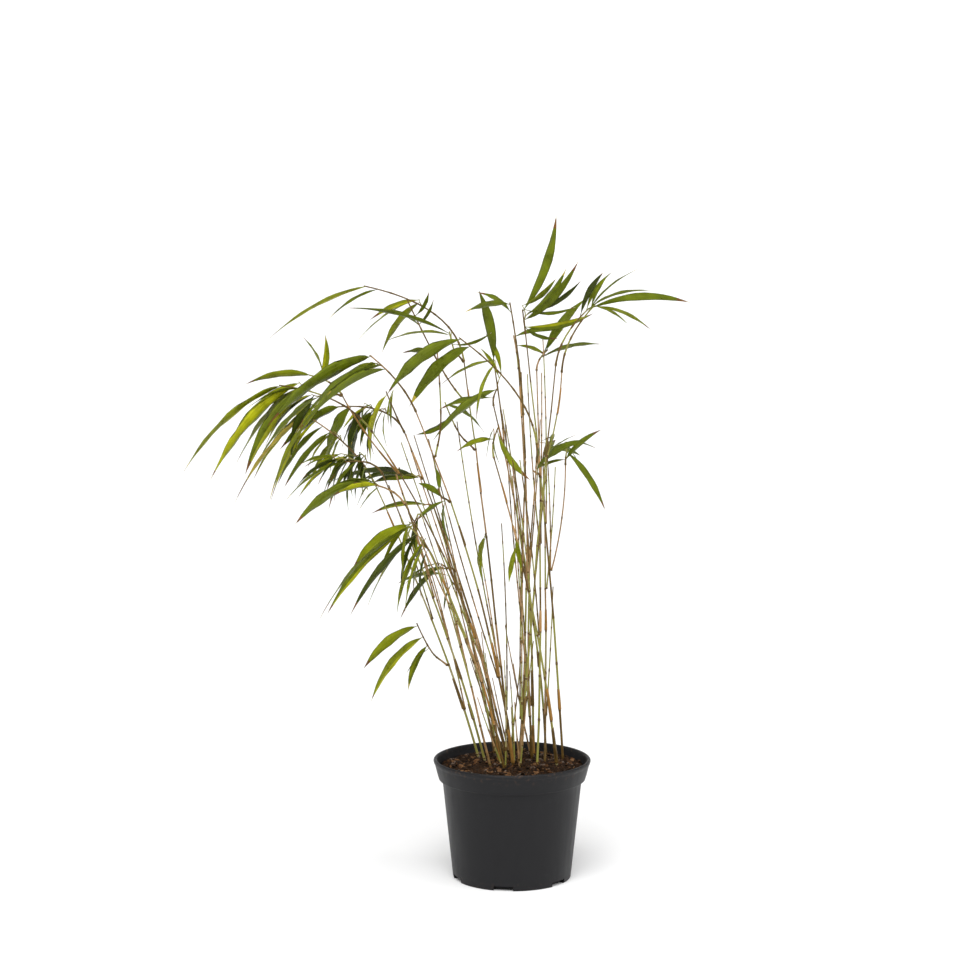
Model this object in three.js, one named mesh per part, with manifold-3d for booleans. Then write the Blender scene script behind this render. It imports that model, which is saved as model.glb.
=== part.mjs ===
// A clump of slender bamboo in a round two-litre nursery pot, for three.js. Millimetres, +Z up, -Y in front.
// The origin is the centre of the pot's flat underside.
//
// Culms and side branches are tapering limbs along quadratic curves. Each mass of foliage is one stem that
// leaves a limb, with twigs and blades placed on it by a seeded rule and joined to it. A twig or a blade that
// would touch something else is turned a few times, and then left out.
import * as THREE from 'three';
import { mergeVertices } from 'three/addons/utils/BufferGeometryUtils.js';
import Module from 'manifold-3d';

const wasm = await Module();
wasm.setup();

// ---- Driving dimensions -------------------------------------------------------------------------------

const POT = {
  height: 130, rimRadius: 85, rimRound: 2.2,
  collarHeight: 22, collarFootRadius: 79.5,
  bodyRadius: 75.5, baseRadius: 64, wall: 1.8, floor: 2.4,
  notches: 6, notchWidth: 21, notchHeight: 5, notchDepth: 7, firstNotch: -99,
  sides: 36,
};
const SOIL = { edgeHeight: 121.5, topHeight: 124.5, flatRadius: 62, gap: 0.35 };

const LIMB = { sides: 6, internode: 50, nodeSwell: 1.12, culmFoot: 1.8, branchFoot: 1.1, tip: 0.9 };
const JOINT_GAP = 0.3; // between a limb and what it carries or stands on
// A twig runs straight on for a while, further where it goes on from a limb's tip, before it bends over.
const TWIG = {
  radius: 0.9, tipRadius: 0.75, sides: 3, step: 9, fewestSteps: 5, straightAtTip: 70, straightAtNode: 16,
};

// Culms: foot x, y; tip x, y, z; bow, which is how far the middle stands off the straight line, along x.
const CULMS = [
  [-37, 34, -150, 70, 420, 6],
  [-30, 16, -138, -15, 440, 7],
  [-24, -12, -80, -62, 348, 2],
  [-18, 42, -86, 102, 390, 5],
  [-14, 6, -150, 18, 482, 27],
  [-9, -30, -112, -86, 416, 12],
  [-5, 26, -118, 86, 476, 9],
  [1, -8, -102, -32, 508, 14],
  [-2, 46, -52, 55, 556, 2],
  [7, 2, 12, 24, 500, 6],
  [8, -20, 45, -24, 556, -2],
  [22, 25, 25, -35, 455, -6],
  [24, 40, 8, 96, 545, 3],
  [27, -8, 27, 58, 546, 4],
  [38, 50, -20, 26, 510, 9],
  [36, 16, 36, 122, 436, 2],
  [48, -6, -20, -62, 462, 8],
  [56, 32, 14, 18, 588, 3],
];

// Side branches: culm, node that it leaves; tip x, y, z; bow along x.
const BRANCHES = [
  [11, 7, 52, -8, 548, 3],
  [18, 4, 57, 10, 448, 4],
  [5, 7, -184, 44, 520, -4],
];

// Foliage: limb and the node that the stem leaves, or TIP; stem's length, heading and rise; number of blades,
// length of the first and of the last, breadth of the first, their heading, and the rise of the first and of
// the last. Headings turn from +X towards +Y, and both angles are in degrees. A rise past 90 leans back over.
const TIP = 0;
const branch = (number) => CULMS.length + number;
const FOLIAGE = [
  [1, TIP, 98, 174, 46, 3, 100, 84, 9, 184, -60, -48],
  [2, TIP, 44, 188, 18, 5, 78, 40, 7, 186, -28, -84],
  [3, TIP, 52, 186, 56, 7, 136, 54, 11, 184, -36, -80],
  [4, TIP, 14, 158, 10, 1, 62, 62, 7, 160, -14, -14],
  [5, TIP, 112, 182, 27, 5, 142, 122, 14, 183, -34, -52],
  [6, TIP, 58, 190, 24, 3, 78, 50, 11, 186, -32, -10],
  [7, TIP, 80, 172, 20, 3, 84, 80, 16, 180, -46, -84],
  [8, TIP, 77, 182, 51, 3, 136, 110, 17, 183, -30, -36],
  [9, TIP, 136, 180, 37, 2, 126, 72, 6, 184, -28, -34],
  [10, TIP, 122, 186, 83, 2, 56, 44, 9, 184, -4, 34],
  [11, TIP, 70, 352, 60, 2, 112, 60, 11, 342, 3, 62],
  [12, TIP, 155, 186, 58, 2, 98, 92, 18, 186, -39, -42],
  [13, TIP, 38, 150, 80, 2, 60, 40, 8, 5, 8, -13],
  [14, TIP, 26, 20, 60, 2, 76, 66, 11, 12, 46, 17],
  [15, TIP, 20, 30, 75, 2, 92, 64, 14, 188, -30, -9],
  [16, TIP, 30, 78, 50, 4, 70, 50, 9, 66, -24, 30],
  [17, TIP, 32, 20, 82, 2, 66, 46, 11, 176, -128, -16],
  [18, TIP, 26, 200, 82, 4, 109, 50, 12, 160, 112, 196],
  [branch(1), TIP, 80, 356, 64, 2, 84, 74, 6, 8, -20, 44],
  [branch(2), TIP, 16, 60, 80, 2, 80, 48, 10, 8, -60, 43],
  [branch(3), TIP, 42, 174, 31, 2, 72, 50, 8, 170, -6, 98],
  [1, 2, 58, 186, 55, 2, 76, 88, 11, 182, -38, -50],
  [7, 4, 18, 195, 30, 2, 76, 36, 9, 190, -43, -10],
  [8, 6, 20, 200, 50, 4, 26, 46, 6, 190, 88, -94],
  [5, 6, 14, 205, -40, 2, 56, 50, 9, 195, -78, -88],
  [9, 5, 14, 265, 20, 2, 36, 50, 9, 215, -66, -98],
  [9, 8, 133, 183, 60, 2, 72, 32, 7, 184, -33, 122],
  [9, 9, 38, 214, 62, 2, 122, 53, 7, 170, 10, 166],
  [7, 6, 14, 195, 30, 2, 92, 56, 13, 184, -2, -8],
  [18, 6, 16, 240, 30, 1, 80, 80, 13, 330, 17, 17],
  [7, 7, 50, 192, 66, 1, 76, 76, 13, 172, -73, -73],
  [9, 7, 62, 194, 58, 2, 60, 46, 10, 2, -32, -156],
  [17, 5, 26, 260, 30, 2, 50, 42, 8, 255, -38, -70],
  [4, 4, 26, 120, 35, 2, 66, 50, 8, 130, -10, -55],
  [15, 7, 102, 112, 72, 1, 82, 82, 13, 202, 70, 70],
  [branch(3), 2, 36, 188, -28, 3, 130, 118, 11, 186, -44, -56],
  [8, 7, 112, 60, 88, 2, 38, 28, 9, 180, 2, 176],
];

// How a stem branches and how blades sit on it.
const RULE = {
  bladesPerTwig: 4, twigLength: 0.24, shortestTwig: 18, twigSpread: 34, firstTwigAt: 0.5, lastTwigAt: 0.9,
  rootDepth: 2, bladeSpacing: 9, lowestBlade: 0.3, bladeSpread: 20, headingJitter: 9, riseJitter: 5, bend: 14,
  roll: 48, rollJitter: 22, sizeJitter: 0.1, breadthJitter: 0.1, tries: 12, turnPerTry: 5, risePerTry: 3,
};
const BLADE = {
  fold: 0.28, thickness: 1 / 95, leastThickness: 1.15,
  rootThickness: 0.6, rootHalfWidth: 0.4,
  stations: [0, 0.18, 0.45, 0.76], widths: [0.05, 0.8, 1, 0.6],
};
// How far points on a blade or twig keep from those already taken, and how closely the points are set.
const CLEAR = {
  blade: 4.6, sameMass: 3.2, limb: 4.2, lowest: 142, rootShare: 0.3, along: 22, acrossHalf: 2, limbStep: 4,
};

// ---- Small helpers ------------------------------------------------------------------------------------

const vector = (x, y, z) => new THREE.Vector3(x, y, z);
const mix = THREE.MathUtils.lerp;
const radians = THREE.MathUtils.degToRad;

function direction(heading, rise) {
  const [turn, up] = [radians(heading), radians(rise)];
  return vector(Math.cos(up) * Math.cos(turn), Math.cos(up) * Math.sin(turn), Math.sin(up));
}

// A linear congruential generator: the same row of numbers in any language.
function seededRandom(seed) {
  let state = seed * 7919;
  const next = () => {
    state = (state * 1664525 + 1013904223) % 4294967296;
    return state / 4294967296;
  };
  for (let warm = 0; warm < 4; warm += 1) next();
  return next;
}

function bare(geometry) {
  const shape = geometry.clone();
  shape.deleteAttribute('normal');
  shape.deleteAttribute('uv');
  const merged = mergeVertices(shape, 1e-4);
  const corners = Array.from(merged.index.array);
  const kept = [];
  for (let i = 0; i < corners.length; i += 3) {
    const [a, b, c] = corners.slice(i, i + 3);
    if (a !== b && b !== c && c !== a) kept.push(a, b, c);
  }
  merged.setIndex(kept);
  return merged;
}

function toSolid(geometry) {
  const shape = bare(geometry);
  const vertProperties = shape.attributes.position.array;
  const triVerts = Uint32Array.from(shape.index.array);
  return new wasm.Manifold(new wasm.Mesh({ numProp: 3, vertProperties, triVerts }));
}

function toGeometry(solid) {
  const mesh = solid.getMesh();
  const geometry = new THREE.BufferGeometry();
  geometry.setAttribute('position', new THREE.BufferAttribute(mesh.vertProperties, 3));
  geometry.setIndex(Array.from(mesh.triVerts));
  return geometry;
}

function mapPoints(geometry, place) {
  const position = geometry.attributes.position;
  for (let i = 0; i < position.count; i += 1) {
    const spot = place(position.getX(i), position.getY(i), position.getZ(i));
    position.setXYZ(i, spot.x, spot.y, spot.z);
  }
  return geometry;
}

// ---- Curves of limbs and twigs ------------------------------------------------------------------------

function curveThrough(start, control, end) {
  const curve = new THREE.QuadraticBezierCurve3(start, control, end);
  const normal = control.clone().sub(start).cross(end.clone().sub(start));
  const spare = vector(0, 1, 0).cross(end.clone().sub(start));
  curve.planeNormal = (normal.length() > 1e-3 ? normal : spare).normalize();
  return curve;
}

// A round rod along a curve: a lathed profile of the unit height, bent so that its axis follows the curve.
function rod(curve, profile, sides) {
  const points = [new THREE.Vector2(0, 0)];
  for (const [at, radius] of profile) points.push(new THREE.Vector2(radius, at));
  points.push(new THREE.Vector2(0, 1));
  return mapPoints(new THREE.LatheGeometry(points, sides), (x, at, z) => {
    const normal = curve.planeNormal;
    const side = curve.getTangent(at).cross(normal);
    return curve.getPoint(at).addScaledVector(side, x).addScaledVector(normal, z);
  });
}

// ---- Limbs --------------------------------------------------------------------------------------------

function makeLimb(name, start, tip, bow, footRadius) {
  const middle = start.clone().add(tip).multiplyScalar(0.5).add(vector(2 * bow, 0, 0));
  const curve = curveThrough(start, middle, tip);
  const nodes = Math.max(2, Math.round(start.distanceTo(tip) / LIMB.internode));
  const radius = (at) => mix(footRadius, LIMB.tip, at);
  return { name, curve, nodes, radius, reach: start.distanceTo(tip) };
}

function makeCulm(row, index) {
  const [footX, footY, tipX, tipY, tipZ, bow] = row;
  const lean = Math.hypot(tipX - footX, tipY - footY) / (tipZ - SOIL.topHeight);
  const footZ = SOIL.topHeight + JOINT_GAP + LIMB.culmFoot * lean;
  const name = `culm_${String(index + 1).padStart(2, '0')}`;
  return makeLimb(name, vector(footX, footY, footZ), vector(tipX, tipY, tipZ), bow, LIMB.culmFoot);
}

// Where a stem or a branch that points a given way leaves its limb, clear of it by the joint gap.
function leave(limb, node, way) {
  if (node === TIP) {
    const along = limb.curve.getTangent(1);
    return { start: limb.curve.getPoint(1).addScaledVector(along, JOINT_GAP), along };
  }
  const at = node / limb.nodes;
  const axis = limb.curve.getTangent(at);
  const out = way.clone().addScaledVector(axis, -way.dot(axis)).normalize();
  const start = limb.curve.getPoint(at).addScaledVector(out, limb.radius(at) * LIMB.nodeSwell + JOINT_GAP);
  return { start, along: out.clone().addScaledVector(axis, 0.5).normalize(), out };
}

function makeBranch(limbs, row, index) {
  const [culm, node, tipX, tipY, tipZ, bow] = row;
  const parent = limbs[culm - 1];
  const tip = vector(tipX, tipY, tipZ);
  const way = tip.clone().sub(parent.curve.getPoint(node / parent.nodes));
  const { start, out } = leave(parent, node, way);
  start.addScaledVector(out, 0.7 * LIMB.branchFoot); // its round foot is not square to the culm
  return makeLimb(`side_branch_${index + 1}`, start, tip, bow, LIMB.branchFoot);
}

function limbGeometry(limb) {
  const profile = [];
  for (let half = 0; half <= 2 * limb.nodes; half += 1) {
    const at = half / (2 * limb.nodes);
    const swell = half % 2 === 0 ? LIMB.nodeSwell : 1;
    profile.push([at, limb.radius(at) * swell]);
  }
  return rod(limb.curve, profile, LIMB.sides);
}

// ---- Blades -------------------------------------------------------------------------------------------

// A blade hangs on its midrib. Its heading and rise are those of the line from base to tip, which roll turns
// it about.
function makeBlade(base, length, halfWidth, heading, rise, roll) {
  const chord = direction(heading, rise);
  const first = direction(heading, rise + RULE.bend);
  const midrib = curveThrough(
    base,
    base.clone().addScaledVector(first, length / 2),
    base.clone().addScaledVector(chord, length),
  );
  const level = vector(Math.sin(radians(heading)), -Math.cos(radians(heading)), 0);
  const across = level.applyAxisAngle(chord, radians(roll));
  return { midrib, across, face: across.clone().cross(chord), halfWidth, length };
}

function signOf(value) {
  return Math.abs(value) < 1e-6 ? 0 : Math.sign(value);
}

// Four-sided rings from a root inside the twig to the tip: an edge to either hand, raised by the fold, and
// the two faces between.
function bladeGeometry(blade) {
  const full = Math.max(BLADE.leastThickness, blade.length * BLADE.thickness);
  const points = [new THREE.Vector2(0, 0)];
  BLADE.stations.forEach((at, i) => points.push(new THREE.Vector2(BLADE.widths[i], at)));
  points.push(new THREE.Vector2(0, 1));
  return mapPoints(new THREE.LatheGeometry(points, 4), (x, at, z) => {
    const hand = signOf(x);
    const width = hand * Math.max(BLADE.rootHalfWidth, Math.abs(x) * blade.halfWidth);
    const thickness = at > 0 ? full : BLADE.rootThickness;
    const lift = 0.5 * thickness * signOf(z) + BLADE.fold * Math.abs(width);
    return blade.midrib.getPoint(at).addScaledVector(blade.across, width).addScaledVector(blade.face, lift);
  });
}

// The blade's outline as a smooth curve of the distance along it, and points spread over the blade.
const outline = (at) => Math.sin(Math.PI * at ** 0.72) ** 0.8;

function bladePoints(blade) {
  const points = [];
  for (let i = 0; i <= CLEAR.along; i += 1) {
    const at = i / CLEAR.along;
    const width = blade.halfWidth * outline(at);
    for (let j = -CLEAR.acrossHalf; j <= CLEAR.acrossHalf; j += 1) {
      const x = j / CLEAR.acrossHalf;
      const spot = blade.midrib.getPoint(at).addScaledVector(blade.across, x * width);
      points.push({ at, spot: spot.addScaledVector(blade.face, BLADE.fold * width * Math.abs(x)) });
    }
  }
  return points;
}

function curvePoints(curve, length) {
  const steps = Math.ceil(length / CLEAR.limbStep);
  return Array.from({ length: steps + 1 }, (_, i) => ({ at: i / steps, spot: curve.getPoint(i / steps) }));
}

// ---- The space that is already taken ------------------------------------------------------------------

class TakenSpace {
  constructor() {
    this.points = [];
  }

  take(points, owner, kind) {
    for (const { at, spot } of points) this.points.push({ at, spot, owner, kind });
  }

  // True if every point keeps its distance. A mass may touch itself near the roots of its blades.
  isFree(points, owner) {
    for (const { at, spot } of points) {
      if (spot.z < CLEAR.lowest) return false;
      for (const other of this.points) {
        const own = other.owner === owner;
        if (own && (Math.min(at, other.at) < CLEAR.rootShare || other.kind !== 'blade')) continue;
        const clearance = own ? CLEAR.sameMass : CLEAR[other.kind];
        if (spot.distanceToSquared(other.spot) < clearance * clearance) return false;
      }
    }
    return true;
  }
}

// ---- Foliage ------------------------------------------------------------------------------------------

// A twig sets out along the way it leaves its limb, and bends over towards its end.
function makeTwig(start, along, end, straight) {
  const length = start.distanceTo(end);
  const control = start.clone().addScaledVector(along, Math.min(straight, 0.45 * length));
  return { curve: curveThrough(start, control, end), length };
}

function growFoliage(limbs, taken, row, index) {
  const [limbNumber, node, length, heading, rise, count, ...sizes] = row;
  const [firstLength, lastLength, breadth, bladeHeading, firstRise, lastRise] = sizes;
  const random = seededRandom(index + 1);
  const jitter = (amount) => amount * (2 * random() - 1);
  const name = `foliage_${String(index + 1).padStart(2, '0')}`;
  const limb = limbs[limbNumber - 1];
  const way = direction(heading, rise);
  const { start, along } = leave(limb, node, way);
  const straight = node === TIP ? TWIG.straightAtTip : TWIG.straightAtNode;
  const stem = makeTwig(start, along, start.clone().addScaledVector(way, length), straight);
  const twigs = [stem];
  taken.take(curvePoints(stem.curve, stem.length), name, 'limb');

  // Side twigs, to either hand in turn.
  const sideTwigs = Math.ceil(count / RULE.bladesPerTwig) - 1;
  for (let k = 1; k <= sideTwigs; k += 1) {
    const at = mix(RULE.firstTwigAt, RULE.lastTwigAt, (k - 0.5) / sideTwigs);
    const hand = k % 2 === 0 ? 1 : -1;
    const reach = Math.max(RULE.shortestTwig, RULE.twigLength * length);
    for (let attempt = 0; attempt < RULE.tries; attempt += 1) {
      const turned = direction(
        heading + hand * RULE.twigSpread + jitter(RULE.headingJitter + RULE.turnPerTry * attempt),
        rise + jitter(RULE.riseJitter + RULE.turnPerTry * attempt),
      );
      const root = stem.curve.getPoint(at);
      const tip = root.clone().addScaledVector(turned, reach);
      const twig = makeTwig(root, stem.curve.getTangent(at), tip, TWIG.straightAtNode);
      const points = curvePoints(twig.curve, twig.length);
      if (taken.isFree(points, name)) {
        twigs.push(twig);
        taken.take(points, name, 'limb');
        break;
      }
    }
  }

  // Blades, dealt to the twigs in turn and set back from their ends.
  const blades = [];
  for (let k = 0; k < count; k += 1) {
    const twig = twigs[k % twigs.length];
    const back = RULE.rootDepth + Math.floor(k / twigs.length) * RULE.bladeSpacing;
    const at = Math.max(RULE.lowestBlade, 1 - back / twig.length);
    const hand = k % 2 === 0 ? 1 : -1;
    const share = count > 1 ? k / (count - 1) : 0;
    const size = mix(firstLength, lastLength, share) * (1 + (k > 0 ? jitter(RULE.sizeJitter) : 0));
    const halfWidth = 0.5 * breadth * Math.sqrt(size / firstLength) * (1 + jitter(RULE.breadthJitter));
    for (let attempt = 0; attempt < RULE.tries; attempt += 1) {
      const blade = makeBlade(
        twig.curve.getPoint(at),
        size,
        halfWidth,
        bladeHeading + hand * RULE.bladeSpread + jitter(RULE.headingJitter + RULE.turnPerTry * attempt),
        mix(firstRise, lastRise, share) + jitter(RULE.riseJitter + RULE.risePerTry * attempt),
        hand * (RULE.roll + jitter(RULE.rollJitter)),
      );
      const points = bladePoints(blade);
      if (taken.isFree(points, name)) {
        blades.push(blade);
        taken.take(points, name, 'blade');
        break;
      }
    }
  }
  return { name, twigs, blades };
}

function twigSolid(twig) {
  const steps = Math.max(TWIG.fewestSteps, Math.ceil(twig.length / TWIG.step));
  const profile = [];
  for (let i = 0; i <= steps; i += 1) profile.push([i / steps, mix(TWIG.radius, TWIG.tipRadius, i / steps)]);
  return toSolid(rod(twig.curve, profile, TWIG.sides));
}

function foliageGeometry(foliage) {
  const solids = foliage.twigs.map(twigSolid);
  for (const blade of foliage.blades) solids.push(toSolid(bladeGeometry(blade)));
  return toGeometry(wasm.Manifold.union(solids));
}

// ---- Pot and soil -------------------------------------------------------------------------------------

const collarFoot = POT.height - POT.collarHeight;
const collarInside = { foot: collarFoot + 2 * POT.wall, top: POT.height - POT.rimRound };

function bodyInnerRadius(z) {
  return mix(POT.baseRadius, POT.bodyRadius, z / collarFoot) - POT.wall;
}

function collarInnerRadius(z) {
  const share = (z - collarInside.foot) / (collarInside.top - collarInside.foot);
  return mix(POT.collarFootRadius - POT.wall, POT.rimRadius - 2 * POT.rimRound, share);
}

function turned(profile) {
  const points = profile.map(([radius, z]) => new THREE.Vector2(radius, z));
  return new THREE.LatheGeometry(points, POT.sides).rotateX(Math.PI / 2);
}

// A tapering body, a wider collar with a rolled rim, and drainage notches through the foot of the wall.
function potGeometry() {
  const { height, rimRadius, rimRound, wall, floor } = POT;
  let solid = toSolid(turned([
    [0, 0],
    [POT.baseRadius, 0],
    [POT.bodyRadius, collarFoot],
    [POT.collarFootRadius, collarFoot],
    [rimRadius - 0.6 * rimRound, height - 2 * rimRound],
    [rimRadius, height - rimRound],
    [rimRadius - 0.3 * rimRound, height - 0.3 * rimRound],
    [rimRadius - rimRound, height],
    [collarInnerRadius(collarInside.top), collarInside.top],
    [collarInnerRadius(collarInside.foot), collarInside.foot],
    [bodyInnerRadius(collarFoot - wall), collarFoot - wall],
    [bodyInnerRadius(floor), floor],
    [0, floor],
  ]));
  for (let k = 0; k < POT.notches; k += 1) {
    const notch = new THREE.BoxGeometry(2 * POT.notchDepth, POT.notchWidth, 2 * POT.notchHeight);
    notch.translate(POT.baseRadius, 0, 0);
    notch.rotateZ(radians(POT.firstNotch + (360 / POT.notches) * k));
    solid = solid.subtract(toSolid(notch));
  }
  return toGeometry(solid);
}

function soilGeometry() {
  const bottom = POT.floor + SOIL.gap;
  const shoulder = collarFoot - POT.wall;
  return bare(turned([
    [0, bottom],
    [bodyInnerRadius(bottom) - SOIL.gap, bottom],
    [bodyInnerRadius(shoulder) - SOIL.gap, shoulder + SOIL.gap],
    [collarInnerRadius(SOIL.edgeHeight) - SOIL.gap, SOIL.edgeHeight],
    [SOIL.flatRadius, SOIL.topHeight],
    [0, SOIL.topHeight],
  ]));
}

// ---- The plant ----------------------------------------------------------------------------------------

const group = new THREE.Group();
const colours = { pot: 0x26282a, soil: 0x4a3226, culm: 0x8a8a4a, branch: 0x9a7b62, foliage: 0x5a7d2c };

function add(name, geometry, colour, roughness) {
  const material = new THREE.MeshStandardMaterial({ color: colour, roughness, metalness: 0 });
  const mesh = new THREE.Mesh(geometry, material);
  mesh.name = name;
  group.add(mesh);
}

const limbs = CULMS.map(makeCulm);
BRANCHES.forEach((row, index) => limbs.push(makeBranch(limbs, row, index)));

const taken = new TakenSpace();
for (const limb of limbs) taken.take(curvePoints(limb.curve, limb.reach), limb.name, 'limb');

add('pot', potGeometry(), colours.pot, 0.6);
add('soil', soilGeometry(), colours.soil, 1);
limbs.forEach((limb, index) => {
  const colour = index < CULMS.length ? colours.culm : colours.branch;
  add(limb.name, bare(limbGeometry(limb)), colour, 0.6);
});
FOLIAGE.forEach((row, index) => {
  const foliage = growFoliage(limbs, taken, row, index);
  add(foliage.name, foliageGeometry(foliage), colours.foliage, 0.5);
});

export default group;
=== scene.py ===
"""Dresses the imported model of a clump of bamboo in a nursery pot.

Laid out as an add-on: settings, one operator for each group of pieces and for the stage, and a panel.
"""
import functools
import math
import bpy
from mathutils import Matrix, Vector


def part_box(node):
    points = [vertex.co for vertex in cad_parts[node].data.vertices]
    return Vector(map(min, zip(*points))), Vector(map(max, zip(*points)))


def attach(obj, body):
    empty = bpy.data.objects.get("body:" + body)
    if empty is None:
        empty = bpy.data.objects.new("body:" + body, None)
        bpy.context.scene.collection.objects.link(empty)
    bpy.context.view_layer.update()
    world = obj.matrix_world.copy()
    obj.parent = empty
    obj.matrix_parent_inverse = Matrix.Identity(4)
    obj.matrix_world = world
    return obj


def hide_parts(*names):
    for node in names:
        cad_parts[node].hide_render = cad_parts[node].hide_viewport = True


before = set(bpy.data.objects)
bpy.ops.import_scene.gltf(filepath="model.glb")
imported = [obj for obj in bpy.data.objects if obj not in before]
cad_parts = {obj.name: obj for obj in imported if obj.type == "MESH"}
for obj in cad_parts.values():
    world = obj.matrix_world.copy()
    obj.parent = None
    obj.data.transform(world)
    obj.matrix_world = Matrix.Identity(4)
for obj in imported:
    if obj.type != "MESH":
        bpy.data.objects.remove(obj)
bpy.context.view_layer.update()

from types import SimpleNamespace

import bmesh
import bpy
import numpy as np
from bpy.props import FloatProperty, FloatVectorProperty, IntProperty, PointerProperty
from mathutils import Vector, noise

bl_info = {
    "name": "Potted bamboo",
    "version": (1, 0, 0),
    "blender": (4, 5, 0),
    "location": "View3D > Sidebar > Bamboo",
    "description": "Builds the pot, compost, canes, twigs and leaves of a potted bamboo round its packed model",
    "category": "Object",
}

BODY = "root"
MM = 0.001

# ---- The plant's plan, in millimetres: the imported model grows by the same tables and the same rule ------

SOIL_TOP = 124.5
JOINT_GAP = 0.3
LIMB = SimpleNamespace(internode=50, swell=1.12, culm_foot=1.8, branch_foot=1.1, tip=0.9)
TWIG = SimpleNamespace(straight_at_tip=70, straight_at_node=16)

# Foot x, y; tip x, y, z; bow along x.
CULMS = [
    (-37, 34, -150, 70, 420, 6), (-30, 16, -138, -15, 440, 7), (-24, -12, -80, -62, 348, 2),
    (-18, 42, -86, 102, 390, 5), (-14, 6, -150, 18, 482, 27), (-9, -30, -112, -86, 416, 12),
    (-5, 26, -118, 86, 476, 9), (1, -8, -102, -32, 508, 14), (-2, 46, -52, 55, 556, 2),
    (7, 2, 12, 24, 500, 6), (8, -20, 45, -24, 556, -2), (22, 25, 25, -35, 455, -6),
    (24, 40, 8, 96, 545, 3), (27, -8, 27, 58, 546, 4), (38, 50, -20, 26, 510, 9),
    (36, 16, 36, 122, 436, 2), (48, -6, -20, -62, 462, 8), (56, 32, 14, 18, 588, 3),
]
# Culm, node that it leaves; tip x, y, z; bow along x.
BRANCHES = [(11, 7, 52, -8, 548, 3), (18, 4, 57, 10, 448, 4), (5, 7, -184, 44, 520, -4)]

TIP = 0


def branch(number):
    return len(CULMS) + number


# Limb, node or TIP; stem's length, heading, rise; blades, length of the first and the last, breadth of the
# first, their heading, rise of the first and the last; then the shade that its sprays are dealt.
FOLIAGE = [
    (1, TIP, 98, 174, 46, 3, 100, 84, 9, 184, -60, -48, "pale"),
    (2, TIP, 44, 188, 18, 5, 78, 40, 7, 186, -28, -84, "deep"),
    (3, TIP, 52, 186, 56, 7, 136, 54, 11, 184, -36, -80, "mid"),
    (4, TIP, 14, 158, 10, 1, 62, 62, 7, 160, -14, -14, "mid"),
    (5, TIP, 112, 182, 27, 5, 142, 122, 14, 183, -34, -52, "mid"),
    (6, TIP, 58, 190, 24, 3, 78, 50, 11, 186, -32, -10, "mid"),
    (7, TIP, 80, 172, 20, 3, 84, 80, 16, 180, -46, -84, "deep"),
    (8, TIP, 77, 182, 51, 3, 136, 110, 17, 183, -30, -36, "mid"),
    (9, TIP, 136, 180, 37, 2, 126, 72, 6, 184, -28, -34, "fresh"),
    (10, TIP, 122, 186, 83, 2, 56, 44, 9, 184, -4, 34, "mid"),
    (11, TIP, 70, 352, 60, 2, 112, 60, 11, 342, 3, 62, "mid"),
    (12, TIP, 155, 186, 58, 2, 98, 92, 18, 186, -39, -42, "mid"),
    (13, TIP, 38, 150, 80, 2, 60, 40, 8, 5, 8, -13, "mid"),
    (14, TIP, 26, 20, 60, 2, 76, 66, 11, 12, 46, 17, "mid"),
    (15, TIP, 20, 30, 75, 2, 92, 64, 14, 188, -30, -9, "fresh"),
    (16, TIP, 30, 78, 50, 4, 70, 50, 9, 66, -24, 30, "mid"),
    (17, TIP, 32, 20, 82, 2, 66, 46, 11, 176, -128, -16, "fresh"),
    (18, TIP, 26, 200, 82, 4, 109, 50, 12, 160, 112, 196, "mid"),
    (branch(1), TIP, 80, 356, 64, 2, 84, 74, 6, 8, -20, 44, "mid"),
    (branch(2), TIP, 16, 60, 80, 2, 80, 48, 10, 8, -60, 43, "fresh"),
    (branch(3), TIP, 42, 174, 31, 2, 72, 50, 8, 170, -6, 98, "mid"),
    (1, 2, 58, 186, 55, 2, 76, 88, 11, 182, -38, -50, "fresh"),
    (7, 4, 18, 195, 30, 2, 76, 36, 9, 190, -43, -10, "mid"),
    (8, 6, 20, 200, 50, 4, 26, 46, 6, 190, 88, -94, "mid"),
    (5, 6, 14, 205, -40, 2, 56, 50, 9, 195, -78, -88, "mid"),
    (9, 5, 14, 265, 20, 2, 36, 50, 9, 215, -66, -98, "fresh"),
    (9, 8, 133, 183, 60, 2, 72, 32, 7, 184, -33, 122, "mid"),
    (9, 9, 38, 214, 62, 2, 122, 53, 7, 170, 10, 166, "fresh"),
    (7, 6, 14, 195, 30, 2, 92, 56, 13, 184, -2, -8, "deep"),
    (18, 6, 16, 240, 30, 1, 80, 80, 13, 330, 17, 17, "mid"),
    (7, 7, 50, 192, 66, 1, 76, 76, 13, 172, -73, -73, "pale"),
    (9, 7, 62, 194, 58, 2, 60, 46, 10, 2, -32, -156, "mid"),
    (17, 5, 26, 260, 30, 2, 50, 42, 8, 255, -38, -70, "mid"),
    (4, 4, 26, 120, 35, 2, 66, 50, 8, 130, -10, -55, "mid"),
    (15, 7, 102, 112, 72, 1, 82, 82, 13, 202, 70, 70, "fresh"),
    (branch(3), 2, 36, 188, -28, 3, 130, 118, 11, 186, -44, -56, "pale"),
    (8, 7, 112, 60, 88, 2, 38, 28, 9, 180, 2, 176, "pale"),
]
RULE = SimpleNamespace(
    blades_per_twig=4, twig_length=0.24, shortest_twig=18, twig_spread=34, first_twig_at=0.5, last_twig_at=0.9,
    root_depth=2, blade_spacing=9, lowest_blade=0.3, blade_spread=20, heading_jitter=9, rise_jitter=5, bend=14,
    roll=48, roll_jitter=22, size_jitter=0.1, breadth_jitter=0.1, tries=12, turn_per_try=5, rise_per_try=3,
    fold=0.28)
CLEAR = SimpleNamespace(
    blade=4.6, same_mass=3.2, limb=4.2, lowest=142, root_share=0.3, along=22, across_half=2, limb_step=4)
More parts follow.
